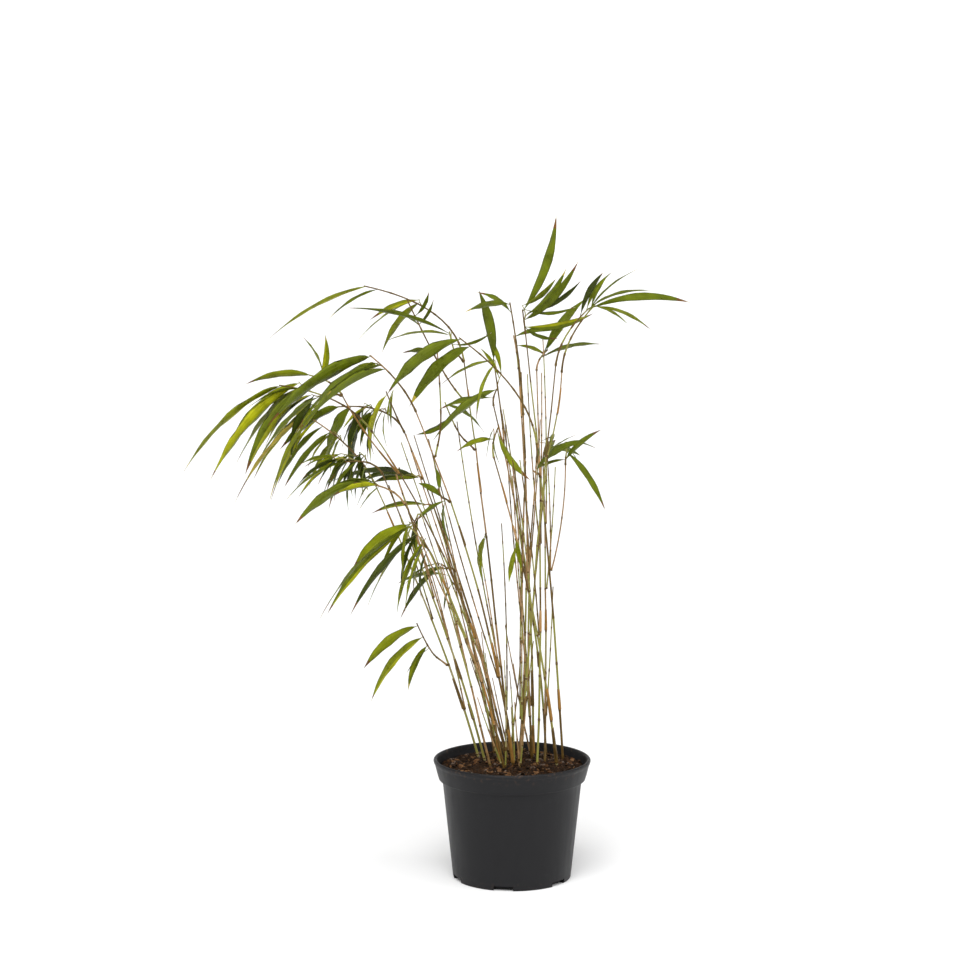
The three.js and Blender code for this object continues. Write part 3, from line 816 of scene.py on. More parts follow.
@functools.lru_cache(maxsize=1)
def relief_group():
    """A height that two sizes of grain make, as a normal."""
    build = Tree("Grain relief", {
        "Vector": "Vector", "Coarse": 200.0, "Fine": 900.0, "Share": 0.5, "Strength": 0.3, "Depth": 0.0002},
        {"Normal": "Vector"})
    coarse, fine = (
        build.add("ShaderNodeTexNoise", Vector=build.given("Vector"), Scale=build.given(name), Detail=detail)
        for name, detail in (("Coarse", 2.0), ("Fine", 3.0)))
    height = build.math("ADD", coarse, build.math("MULTIPLY", fine, build.given("Share")))
    bump = build.add("ShaderNodeBump", Strength=build.given("Strength"), Distance=build.given("Depth"),
                     Height=height)
    build.join(build.end.inputs["Normal"], bump)
    return build.tree


def linear(code):
    """A colour written as six hex digits, as a linear colour."""
    parts = [int(code[i:i + 2], 16) / 255 for i in (0, 2, 4)]
    return tuple(p / 12.92 if p <= 0.04045 else ((p + 0.055) / 1.055) ** 2.4 for p in parts)


def opaque(colour):
    return (*colour, 1.0)


def shaded(colour, factor):
    return tuple(min(1.0, c * factor) for c in colour)


class Finish(Nodes):
    """A material under construction, round one Principled shader."""

    def __init__(self, name, roughness, specular, tint=(1, 1, 1, 1)):
        self.material = bpy.data.materials.new(name)
        self.material.use_nodes = True
        super().__init__(self.material.node_tree)
        self.nodes.clear()
        self.shader = self.add("ShaderNodeBsdfPrincipled", Roughness=roughness, Specular_IOR_Level=specular,
                               Specular_Tint=tint)
        self.add("ShaderNodeOutputMaterial", Surface=self.shader)

    def coordinates(self, scale=(1, 1, 1)):
        """Object coordinates, stretched."""
        place = self.add("ShaderNodeTexCoord").outputs["Object"]
        return self.add("ShaderNodeMapping", Vector=place, Scale=scale)

    def range(self, value, low, high, to_low, to_high):
        return self.add("ShaderNodeMapRange", Value=value, From_Min=low, From_Max=high, To_Min=to_low,
                        To_Max=to_high)

    def mottle(self, base, second, scale, detail, low, high, stretch=(1, 1, 1)):
        """Two colours that drift into each other over the surface."""
        return self.add(
            "ShaderNodeGroup", node_tree=mottle_group(), Vector=self.coordinates(stretch), Scale=scale,
            Detail=detail, Low=low, High=high, Base=opaque(base), Second=opaque(second))

    def grain(self, vector, coarse, fine, share, strength, depth):
        """A relief of two sizes of grain, on the shader's normal."""
        relief = self.add(
            "ShaderNodeGroup", node_tree=relief_group(), Vector=vector, Coarse=coarse, Fine=fine, Share=share,
            Strength=strength, Depth=depth)
        self.join(self.shader.inputs["Normal"], relief)

    def surface(self, colour, mask, smooth, rough):
        """The shader's colour, and its roughness between two values by a mask."""
        self.join(self.shader.inputs["Base Color"], colour)
        self.join(self.shader.inputs["Roughness"], self.range(mask, 0, 1, smooth, rough))


def leaf_finish(name, colour, gloss):
    """A leaf: parallel veins as relief, and a fine drift of tone that has no place of its own."""
    finish = Finish(f"leaf_{name}", gloss, 0.36, (1.0, 1.0, 0.4, 1.0))
    across, along = (
        finish.add("ShaderNodeAttribute", attribute_name=name).outputs["Fac"] for name in ("across", "along"))
    veins = finish.add("ShaderNodeMapping", Vector=finish.add("ShaderNodeCombineXYZ", X=across, Y=along),
                       Scale=(5.0, 0.5, 1.0))
    tone = finish.mottle(shaded(colour, 0.74), shaded(colour, 1.3), 75.0, 4.0, 0.34, 0.66)
    finish.surface(tone.outputs["Color"], tone.outputs["Mask"], gloss - 0.06, gloss + 0.1)
    finish.grain(veins, 1.0, 4.0, 0.4, 1.0, 0.0013)
    return finish.material


def cane_finish(name, colour, second, gloss=0.45):
    """A cane: lengthwise fibres, blotches and a slight wax shine."""
    finish = Finish(f"cane_{name}", gloss, 0.34, (1.0, 0.88, 0.55, 1.0))
    fibres = finish.mottle(colour, second, 700.0, 3.0, 0.36, 0.68, (1, 1, 0.12))
    blotches = finish.mottle(colour, shaded(second, 0.62), 110.0, 4.0, 0.52, 0.66, (1, 1, 0.5))
    share = finish.range(blotches.outputs["Mask"], 0, 1, 0, 0.6)
    blotched = finish.mix(share, fibres.outputs["Color"], blotches.outputs["Color"])
    finish.surface(blotched, fibres.outputs["Mask"], gloss - 0.05, gloss + 0.15)
    finish.grain(finish.coordinates((1, 1, 0.15)), 900.0, 2600.0, 0.5, 0.5, 0.0002)
    return finish.material


def chip_finish(name, colour, second):
    finish = Finish(f"bark_{name}", 0.85, 0.14)
    tone = finish.mottle(colour, second, 420.0, 4.0, 0.38, 0.64)
    finish.surface(tone.outputs["Color"], tone.outputs["Mask"], 0.72, 0.95)
    finish.grain(finish.coordinates(), 600.0, 2200.0, 0.6, 0.7, 0.0004)
    return finish.material


def pot_finish(colour, dust):
    """Matt moulded plastic: a fine skin, faint upright flow marks, and compost dust at its mouth and foot."""
    finish = Finish("pot_plastic", 0.5, 0.22)
    flow = finish.mottle(shaded(colour, 0.92), shaded(colour, 1.1), 130.0, 3.0, 0.3, 0.7, (1, 1, 0.06))
    specks = finish.mottle(colour, dust, 260.0, 5.0, 0.56, 0.72)
    place = finish.add("ShaderNodeTexCoord").outputs["Object"]
    height = finish.add("ShaderNodeSeparateXYZ", Vector=place).outputs["Z"]
    mouth, foot = finish.range(height, 0.117, 0.129, 0.0, 0.75), finish.range(height, 0.012, 0.0, 0.0, 0.35)
    share = finish.math("MULTIPLY", finish.math("ADD", mouth, foot), specks.outputs["Mask"])
    finish.surface(finish.mix(share, flow.outputs["Color"], opaque(dust)), flow.outputs["Mask"], 0.42, 0.54)
    finish.grain(finish.coordinates(), 500.0, 2400.0, 0.5, 0.25, 0.0002)
    return finish.material


def compost_finish(dark, brown):
    finish = Finish("damp_compost", 0.92, 0.1)
    tone = finish.mottle(dark, brown, 300.0, 6.0, 0.4, 0.66)
    finish.surface(tone.outputs["Color"], tone.outputs["Mask"], 0.8, 1.0)
    finish.grain(finish.coordinates(), 260.0, 1100.0, 0.8, 0.9, 0.0012)
    return finish.material


def floor_finish(colour):
    finish = Finish("studio_floor", 0.8, 0.2)
    tone = finish.mottle(colour, shaded(colour, 0.995), 3.0, 2.0, 0.3, 0.7)
    finish.join(finish.shader.inputs["Base Color"], tone.outputs["Color"])
    return finish.material


@functools.lru_cache(maxsize=1)
def cane_finishes():
    """The canes' materials by name. Each colour drifts into a second one."""
    look = settings("bamboo_canes")
    seconds = {"Olive": "green", "Green": "olive", "Grey": "olive", "Brown": "ring", "Ring": "brown",
               "Pink": "brown", "Sheath": "brown", "Paper": "sheath"}
    return {name: cane_finish(name.lower(), tuple(getattr(look, name.lower())), tuple(getattr(look, second)))
            for name, second in seconds.items()}


@functools.lru_cache(maxsize=1)
def leaf_finishes():
    look = settings("bamboo_leaves")
    gloss = {"Dry": 0.7, "Bleached": 0.8, "Straw": 0.5}
    return {name: leaf_finish(name.lower(), tuple(getattr(look, name.lower())), gloss.get(name, 0.3))
            for name in LEAF_FINISHES}


# ---- Settings ------------------------------------------------------------------------------------------


def colour_setting(name, description, code):
    return FloatVectorProperty(
        name=name, description=description, default=linear(code), subtype="COLOR", size=3, min=0, max=1)


def length_setting(name, description, millimetres):
    return FloatProperty(
        name=name, description=description, default=millimetres * MM, unit="LENGTH", precision=5)


def width_setting(name, which, share):
    return FloatProperty(
        name=name, description=f"Width of the {which} leaves, as a share of their solids'", default=share,
        min=0.5, max=2)


def light_setting(name, what, strength):
    return FloatProperty(name=name, description=f"Strength of the {what}", default=strength, min=0)


class PotSettings(bpy.types.PropertyGroup):
    height: length_setting("Height", "From the floor to the top of the rim", 130)
    rim_radius: length_setting("Rim radius", "Outermost radius of the rolled rim", 85)
    collar_height: length_setting("Collar height", "Height of the wider band under the rim", 22)
    collar_foot: length_setting("Collar foot radius", "Radius of the collar at its lower edge", 79.5)
    body_radius: length_setting("Body radius", "Radius of the body just under the collar", 75.5)
    base_radius: length_setting("Base radius", "Radius at the floor", 64)
    wall: length_setting("Wall", "Thickness of the moulded wall", 1.8)
    notch_width: length_setting("Notch width", "Width of each drainage notch", 21)
    notch_height: length_setting("Notch height", "Height of each drainage notch", 5)
    notch_depth: length_setting("Notch depth", "How far a notch reaches in from the foot", 7)
    notches: IntProperty(name="Notches", description="Number of drainage notches", default=6, min=0, max=24)
    first_notch: FloatProperty(
        name="First notch", description="Direction of the first notch", default=math.radians(-99),
        unit="ROTATION")
    sides: IntProperty(name="Sides", description="Sides of the turned shape", default=128, min=24, max=256)
    plastic: colour_setting("Plastic", "Colour of the pot", "141416")
    dust: colour_setting("Dust", "Colour of compost dust on the pot", "4a382b")


class CompostSettings(bpy.types.PropertyGroup):
    level: length_setting("Level", "Height of the compost at the middle of the pot", 124.2)
    edge: length_setting("Edge", "Height of the compost at the pot's wall", 120.4)
    unevenness: length_setting("Unevenness", "How far the surface rises and falls", 2.4)
    chip_length: length_setting("Chip length", "Usual length of the larger bark chips", 10)
    crumb_length: length_setting("Crumb length", "Usual length of the crumbs between them", 4)
    seed: IntProperty(name="Seed", description="Deals the chips out differently", default=11, min=0)
    dark: colour_setting("Dark", "Colour of damp compost", "120a05")
    brown: colour_setting("Brown", "Colour of most chips", "33200f")
    russet: colour_setting("Russet", "Colour of reddish chips", "4c3018")
    tan: colour_setting("Tan", "Colour of fresh broken chips", "6e5136")
    pale: colour_setting("Pale", "Colour of dry greyish chips", "6a5d53")


class CaneSettings(bpy.types.PropertyGroup):
    sides: IntProperty(name="Sides", description="Sides of each cane's section", default=10, min=5, max=24)
    slim: FloatProperty(
        name="Slimness", description="A cane's girth between its nodes, as a share of its solid's",
        default=0.78, min=0.5, max=1, subtype="FACTOR")
    kink: length_setting("Kink", "How far a cane steps aside at each node", 0.7)
    ring: colour_setting("Ring", "Colour of the ring at each node", "3e2c10")
    olive: colour_setting("Olive", "Colour of most internodes", "80763c")
    green: colour_setting("Green", "Colour of fresh internodes", "7c8038")
    grey: colour_setting("Grey", "Colour of pale, waxy internodes", "948b66")
    brown: colour_setting("Brown", "Colour of old internodes", "6a5226")
    pink: colour_setting("Pink", "Colour of thin side stems", "a07e5a")
    sheath: colour_setting("Sheath", "Colour of ripe culm sheaths", "94682e")
    paper: colour_setting("Paper", "Colour of dry, papery sheaths", "b2926a")


class LeafSettings(bpy.types.PropertyGroup):
    thickness: length_setting("Thickness", "Thickness of a leaf", 0.4)
    ripple: FloatProperty(
        name="Ripple", description="Height of the edge's ripple, as a share of half the leaf's width",
        default=0.12, min=0, max=0.5, subtype="FACTOR")
    broad: width_setting("Broad", "outer", 1.16)
    slender: width_setting("Slender", "inner", 0.82)
    petiole: length_setting("Petiole", "Length of the narrow stalk at a leaf's foot", 3)
    # Painted shade: deep is the leaves' green darkened to stand for the shade inside dense clusters, as well as
    # the darker green of old leaves.
    deep: colour_setting("Deep", "Colour of old, shaded leaves", "303c04")
    mid: colour_setting("Mid", "Colour of most leaves", "586408")
    # Painted light: fresh and lime are lighter copies of the green for leaves that catch the light; lime is
    # also the colour of leaves that have begun to pale.
    fresh: colour_setting("Fresh", "Colour of leaves in full light", "747c0a")
    lime: colour_setting("Lime", "Colour of leaves that have begun to pale", "9a9c0c")
    straw: colour_setting("Straw", "Colour of yellowed leaves", "b5a23e")
    dry: colour_setting("Dry", "Colour of withered tips", "6e4826")
    bleached: colour_setting("Bleached", "Colour of long dead tips", "b9ab92")


class StageSettings(bpy.types.PropertyGroup):
    floor: colour_setting("Floor", "Colour of the studio floor", "f4f4f4")
    lens: FloatProperty(name="Lens", description="Focal length of the camera", default=88.2, unit="CAMERA")
    distance: length_setting("Distance", "How far the camera stands in front of the pot's centre", 2500)
    camera_height: length_setting("Camera height", "Height of the camera above the floor", 702)
    camera_side: length_setting("Camera side", "How far to the side the camera stands", -34.7)
    pitch: FloatProperty(
        name="Pitch", description="How far the camera looks down", default=math.radians(6.15), unit="ROTATION")
    sky: light_setting("Sky", "even light all round", 0.46)
    key: light_setting("Key", "main soft light, from the upper left", 2.75)
    fill: light_setting("Fill", "soft light from the right", 1.3)


# ---- Pieces --------------------------------------------------------------------------------------------


def arc(centre_r, centre_z, radius, first, last, steps=6):
    """Points of a rounded corner in a turned profile, by angle in degrees from outwards to upwards."""
    angles = [math.radians(first + (last - first) * i / steps) for i in range(steps + 1)]
    return [(centre_r + radius * math.cos(a), centre_z + radius * math.sin(a)) for a in angles]


def ring_spots(radius, sides):
    """Points round the upright axis, as x and y."""
    angles = [2 * math.pi * k / sides for k in range(sides)]
    return [(radius * math.cos(angle), radius * math.sin(angle)) for angle in angles]


def finished_mesh(name, shape):
    """A mesh of a shape's faces, turned outwards."""
    bmesh.ops.recalc_face_normals(shape, faces=shape.faces)
    mesh = bpy.data.meshes.new(name)
    shape.to_mesh(mesh)
    shape.free()
    return mesh


def turned_mesh(name, profile, sides):
    """A shape turned about the upright axis. A solid's profile runs from axis to axis, outwards first."""
    shape = bmesh.new()
    rings = []
    for radius, z in profile:
        spots = ring_spots(radius, sides) if radius > 0 else [(0, 0)]
        rings.append([shape.verts.new((x, y, z)) for x, y in spots])
    for lower, upper in zip(rings, rings[1:]):
        for k in range(sides):
            following = (k + 1) % sides
            corners = [lower[k % len(lower)], lower[following % len(lower)],
                       upper[following % len(upper)], upper[k % len(upper)]]
            shape.faces.new([v for i, v in enumerate(corners) if v not in corners[:i]])
    return finished_mesh(name, shape)


def smooth_by_angle(mesh, degrees):
    """Smooth shading, with sharp edges kept past an angle."""
    mesh.polygons.foreach_set("use_smooth", [True] * len(mesh.polygons))
    shape = bmesh.new()
    shape.from_mesh(mesh)
    for edge in shape.edges:
        edge.smooth = edge.calc_face_angle(0) < math.radians(degrees)
    shape.to_mesh(mesh)
    shape.free()


class BAMBOO_OT_pot(bpy.types.Operator):
    """Turns the nursery pot, with its rolled rim, collar and drainage notches"""

    bl_idname = "bamboo.pot"
    bl_label = "Nursery pot"

    def execute(self, context):
        look = settings("bamboo_pot")
        top, rim, wall, base = look.height, look.rim_radius, look.wall, look.base_radius
        foot_z = top - look.collar_height
        lip = 1.9 * MM
        inner_top = rim - 2 * lip - 0.5 * MM
        floor = 2.4 * MM
        profile = [(0, 0.9 * MM), (base - 8 * MM, 0.9 * MM)]
        profile += [(base - 6.5 * MM, 0), (base - 1.2 * MM, 0)]
        profile += arc(base - 1.1 * MM, 1.1 * MM, 1.1 * MM, -80, -8, 4)
        profile += [(base + (look.body_radius - base) * s, foot_z * s) for s in (0.1, 0.35, 0.65, 0.9)]
        body = look.body_radius
        profile += [(body - 0.1 * MM, foot_z - 1.6 * MM), (body + 0.4 * MM, foot_z - 0.5 * MM)]
        profile += [(body + 1.2 * MM, foot_z)]
        profile += arc(look.collar_foot - 0.9 * MM, foot_z + 0.9 * MM, 0.9 * MM, -85, 0, 4)
        profile += [(look.collar_foot + (rim - 1.3 * MM - look.collar_foot) * s,
                     foot_z + (look.collar_height - 5.6 * MM) * s) for s in (0.3, 0.65, 0.93)]
        profile += [(rim - 1.1 * MM, top - 4.9 * MM), (rim - 0.5 * MM, top - 4.3 * MM)]
        profile += arc(rim - lip, top - lip - 0.35 * MM, lip, -30, 0, 3)
        profile += arc(rim - lip, top - lip, lip, 4, 172, 12)
        profile += [(inner_top + 0.2 * MM, top - 3.2 * MM), (inner_top, top - 5 * MM)]
        profile += [(look.collar_foot - wall + 0.3 * MM, foot_z + 2.4 * MM), (body - wall, foot_z - wall)]
        profile += [(base - wall + 0.6 * MM, floor + 1.2 * MM), (base - wall - 1 * MM, floor), (0, floor)]
        mesh = turned_mesh("pot_shell", profile, look.sides)
        finish = pot_finish(tuple(look.plastic), tuple(look.dust))
        piece = run_tree("nursery_pot", mesh, notch_tree(), {
            "Notches": look.notches, "Foot Radius": base, "First Angle": look.first_notch,
            "Cutter": (2 * look.notch_depth, look.notch_width, 2 * look.notch_height), "Plastic": finish})
        smooth_by_angle(piece.data, 42)
        hand_over(piece, ["pot"])
        return {"FINISHED"}


class BAMBOO_OT_compost(bpy.types.Operator):
    """Fills the pot with uneven compost"""

    bl_idname = "bamboo.compost"
    bl_label = "Compost"

    def execute(self, context):
        look, pot = settings("bamboo_compost"), settings("bamboo_pot")
        mesh = compost_mesh(look, pot)
        piece = add_object("compost", mesh)
        mesh.materials.append(compost_finish(tuple(look.dark), tuple(look.brown)))
        mesh.polygons.foreach_set("use_smooth", [True] * len(mesh.polygons))
        hand_over(piece, ["soil"])
        return {"FINISHED"}


COMPOST_RADIUS = 0.0775  # where the surface has sunk to its edge
STREWN_RADIUS = 0.0755  # how far out bark is strewn


def compost_height(look, x, y):
    """Height of the uneven surface: lower towards the wall, with lumps of two sizes."""
    radius = math.hypot(x, y)
    share = min(1.0, radius / COMPOST_RADIUS)
    base = look.level + (look.edge - look.level) * share ** 3
    lumps = noise.noise(Vector((x * 90, y * 90, 3.1))) + 0.5 * noise.noise(Vector((x * 260, y * 260, 7.7)))
    return base + look.unevenness * 0.75 * lumps


def compost_mesh(look, pot):
    """The surface as rings of points, with a skirt down the inside of the pot and a flat underside."""
    rings, sides, reach = 40, 112, 0.0781
    skirt = ((0.0752, pot.height - pot.collar_height - 0.001), (0.0733, 0.1), (0.0626, 0.009), (0.051, 0.0065),
             (0.05, 0.0034))
    shape = bmesh.new()
    strewn = shape.verts.layers.float.new("strewn")
    rows = []
    middle = shape.verts.new((0, 0, compost_height(look, 0, 0)))
    middle[strewn] = 1.0
    for ring in range(1, rings + 1):
        radius = reach * ring / rings
        row = [shape.verts.new((x, y, compost_height(look, x, y))) for x, y in ring_spots(radius, sides)]
        for vertex in row:
            vertex[strewn] = 1.0 if radius < STREWN_RADIUS else 0.0
        rows.append(row)
    for radius, z in skirt:
        rows.append([shape.verts.new((x, y, z)) for x, y in ring_spots(radius, sides)])
    foot = shape.verts.new((0, 0, skirt[-1][1]))
    for k in range(sides):
        following = (k + 1) % sides
        shape.faces.new((middle, rows[0][k], rows[0][following]))
        for inner, outer in zip(rows, rows[1:]):
            shape.faces.new((inner[k], outer[k], outer[following], inner[following]))
        shape.faces.new((foot, rows[-1][following], rows[-1][k]))
    return finished_mesh("compost", shape)


class BAMBOO_OT_bark(bpy.types.Operator):
    """Strews bark chips and crumbs over the compost"""

    bl_idname = "bamboo.bark"
    bl_label = "Bark chips"

    def execute(self, context):
        look, pot = settings("bamboo_compost"), settings("bamboo_pot")
        seconds = {"Dark": "brown", "Brown": "dark", "Russet": "brown", "Tan": "russet", "Pale": "brown"}
        finishes = {
            name: chip_finish(name.lower(), tuple(getattr(look, name.lower())), tuple(getattr(look, second)))
            for name, second in seconds.items()}
        sizes = (
            ("bark_chips", look.chip_length, 60000.0, 0.0048, 0.32, 0.55, 2, look.seed),
            ("bark_crumbs", look.crumb_length, 260000.0, 0.0021, 0.4, 0.9, 1, look.seed + 50),
        )
        for name, length, density, spacing, roughness, tilt, facets, seed in sizes:
            piece = run_tree(name, compost_mesh(look, pot), chip_tree(), {
                "Density": density, "Spacing": spacing, "Chip Length": length, "Roughness": roughness,
                "Tilt": tilt, "Facets": facets, "Seed": seed, **finishes})
            hand_over(piece, [])
        return {"FINISHED"}


def swept_strand(points, girths, finishes):
    """What the cane tree reads of one line, from millimetres."""
    return {"points": points * MM, "girth": np.array(girths) * MM, "finish": np.array(finishes, int)}


def swept_piece(name, strands, sides, relief, relief_scale=900.0):
    """One piece of all the strands, with the canes' finishes."""
    return run_tree(name, strands_mesh(name, strands), cane_tree(), {
        "Sides": sides, "Relief": relief, "Relief Scale": relief_scale, **cane_finishes()})


# Stretches of an internode and of a twig between its joints: where each starts, its swell and if it is a ring.
INTERNODE = (
    (0.0, 1.16, True), (0.012, 1.2, True), (0.03, 1.04, True), (0.05, 1.0, False), (0.2, 0.97, False),
    (0.4, 0.95, False), (0.6, 0.95, False), (0.8, 0.97, False), (0.94, 1.0, False), (0.975, 1.06, False),
    (0.988, 1.15, True))
TWIG_JOINT = (
    (0.0, 1.2, True), (0.08, 1.25, True), (0.16, 1.0, False), (0.55, 0.94, False), (0.92, 1.02, False))
TWIG_SIDES, TWIG_RELIEF = 7, 0.00006
FOOT_DEPTH = 7  # how far a culm goes down into the compost


def cane_strand(limb, draw, kink, tone, slim):
    """A limb as a line of points: rings at its nodes, a finish for each internode, and a step at each node."""
    shares, girths, finishes = [], [], []
    for node in range(limb.nodes):
        dealt = TONES[tone] if tone and node < 0.7 * limb.nodes else (BROWN, PINK, BROWN, PINK, OLIVE)
        finish = dealt[int(draw() * len(dealt))]
        if node == 0 and draw() < (0.7 if tone == "brown" else 0.2):
            finish = BROWN
        for step, swell, ring in INTERNODE:
            share = (node + step) / limb.nodes
            shares.append(share)
            girths.append(limb.radius(share) * swell * slim)
            finishes.append(RING if ring else finish)
    shares.append(1.0)
    girths.append(limb.radius(1.0) * slim)
    finishes.append(finishes[-2])
    points = limb.curve.points(shares)
    aside = [direction(360 * draw(), 0) * kink * (0.4 + 0.6 * draw()) for _ in range(limb.nodes + 1)]
    aside[0], aside[-1] = aside[0] * 0, aside[-1] * 0
    for i, share in enumerate(shares):
        node = min(int(share * limb.nodes), limb.nodes - 1)
        within = share * limb.nodes - node
        points[i] += aside[node] * (1 - within) + aside[node + 1] * within
    if tone:
        below = points[0] - limb.curve.tangent(0) * FOOT_DEPTH
        points = np.concatenate([[below], points])
        girths, finishes = [limb.radius(0) * slim] + girths, [finishes[3]] + finishes
    return swept_strand(points, girths, finishes)


class BAMBOO_OT_canes(bpy.types.Operator):
    """Grows the culms and side branches, with node rings and a finish for each internode"""

    bl_idname = "bamboo.canes"
    bl_label = "Canes"

    def execute(self, context):
        look, grown = settings("bamboo_canes"), plant()
        culms, branches = grown.limbs[:len(CULMS)], grown.limbs[len(CULMS):]
        for name, limbs, first in (("culms", culms, 300), ("side_branches", branches, 400)):
            tones = CULM_TONES if name == "culms" else (None,) * len(BRANCHES)
            strands = [cane_strand(limb, seeded_random(first + i), look.kink / MM, tones[i], look.slim)
                       for i, limb in enumerate(limbs)]
            piece = swept_piece(name, strands, look.sides, 0.00008)
            hand_over(piece, [limb.name for limb in limbs])
        return {"FINISHED"}


def blade_strand(midrib, side, half_width, length, **options):
    """A blade as a line of points with what the blade tree reads."""
    shares = np.array(LEAF_STATIONS)
    petiole = options["petiole"] / length
    within = np.clip((shares - petiole) / (1 - petiole), 0, 1)
    drawn_out = 1 - 0.4 * np.clip((within - 0.68) / 0.32, 0, 1)
    widths = half_width * outline(within ** options["late"]) * drawn_out
    stalk = np.clip(0.55 - 0.4 * shares, 0.1, 0.5)
    widths = np.maximum(widths, stalk * np.where(shares > 0.9, 0.5, 1.0))
    bulge = midrib.control - (midrib.start + midrib.end) / 2
    arch = np.outer(4 * shares * (1 - shares), unit(bulge) * length * options["arch"])
    centre = midrib.points(shares) + arch
    tangents = np.array([unit(step) for step in np.gradient(centre, shares, axis=0)])
    sides = []
    for share, tangent in zip(shares, tangents):
        across = turned(side, tangent, options["twist"] * share)
        sides.append(unit(across - tangent * np.dot(across, tangent)))
    sides = np.array(sides)
    alike = {"phase": float, "finish_left": int, "finish_right": int, "finish_tip": int, "dry_from": float,
             "dead_from": float}
    return {
        "points": centre * MM, "centre": centre * MM, "side": sides, "face": np.cross(tangents, sides),
        "half_width": widths * MM, "along": shares, "fold": options["fold"] * (1.15 - 0.5 * shares),
        **{key: np.full(len(shares), options[key], kind) for key, kind in alike.items()},
    }


class BAMBOO_OT_sheaths(bpy.types.Operator):
    """Wraps papery sheaths round the canes above their nodes, each narrowing towards its top"""

    bl_idname = "bamboo.sheaths"
    bl_label = "Culm sheaths"

    def execute(self, context):
        look, grown = settings("bamboo_canes"), plant()
        wraps = []
        for index, limb in enumerate(grown.limbs):
            draw = seeded_random(600 + index)
            crowded = index in CROWDED
            for node in range(limb.nodes):
                height = node / limb.nodes
                chance = 0.6 if crowded and node < 2 else 0.15 + 0.25 * height
                if draw() > chance:
                    continue
                reach = 0.35 + 0.5 * draw()
                shares = [(node + reach * s) / limb.nodes for s in (0.03, 0.06, 0.3, 0.6, 0.85, 1.0)]
                swell = np.array((1.08, 1.14, 1.1, 1.04, 0.98, 0.9))
                finish = SHEATH if draw() < 0.4 else BROWN if node < 2 or draw() < 0.5 else PAPER
                girths = [limb.radius(s) * w for s, w in zip(shares, swell)]
                wraps.append(swept_strand(limb.curve.points(shares), girths, [finish] * len(shares)))
        piece = swept_piece("culm_sheaths", wraps, look.sides, 0.0003, 420.0)
        hand_over(piece, [])
        return {"FINISHED"}


class BAMBOO_OT_twigs(bpy.types.Operator):
    """Grows the twigs that carry the leaves, and the thin stems that run up beside the culms"""

    bl_idname = "bamboo.twigs"
    bl_label = "Twigs"

    def execute(self, context):
        grown, strands = plant(), []
        for mass in grown.masses:
            draw = seeded_random(1200 + mass.index)
            for number, twig in enumerate(mass.twigs):
                foot, tip = (1.15, 0.75) if number == 0 else (0.65, 0.45)
                strands.append(twig_strand(twig, foot, tip, draw, BROWN if number == 0 else OLIVE))
        nodes = [mass.name for mass in grown.masses]
        piece = swept_piece("twigs", strands, TWIG_SIDES, TWIG_RELIEF)
        hand_over(piece, nodes)
        draw = seeded_random(1300)
        usual = (PINK, BROWN, GREY, PINK, OLIVE)
        strands = [twig_strand(stem, stem.foot, stem.tip, draw, usual[int(stem.shade * len(usual))])
                   for stem in grown.side_stems]
        piece = swept_piece("side_stems", strands, TWIG_SIDES, TWIG_RELIEF)
        hand_over(piece, [])
        return {"FINISHED"}


def twig_strand(twig, foot, tip, draw, usual):
    """A twig as a line of points, with a small knuckle every 20 mm or so."""
    joints = max(2, round(twig.length / 22))
    shares, girths, finishes = [], [], []
    for joint in range(joints):
        finish = usual if draw() < 0.6 else (PINK, OLIVE, BROWN, GREEN)[int(draw() * 4)]
        for step, swell, ring in TWIG_JOINT:
            share = (joint + step) / joints
            shares.append(share)
            girths.append((foot + (tip - foot) * share) * swell)
            finishes.append(RING if ring else finish)
    shares.append(1.0)
    girths.append(tip)
    finishes.append(finishes[-1])
    points = twig.curve.points(shares)
    if twig.lift is not None:
        share = np.array(shares)
        points += np.outer(share * np.clip(1 - share / 0.6, 0, 1) ** 2, twig.lift)
    if twig.root is not None:
        points = np.concatenate([[twig.root], points])
        girths, finishes = [foot] + girths, [usual] + finishes
    return swept_strand(points, girths, finishes)


LEFT_PART = -120  # left of this, in millimetres, a mass counts to the left piece
NEVER = 2.0  # past the tip: no part of the leaf is dry or dead


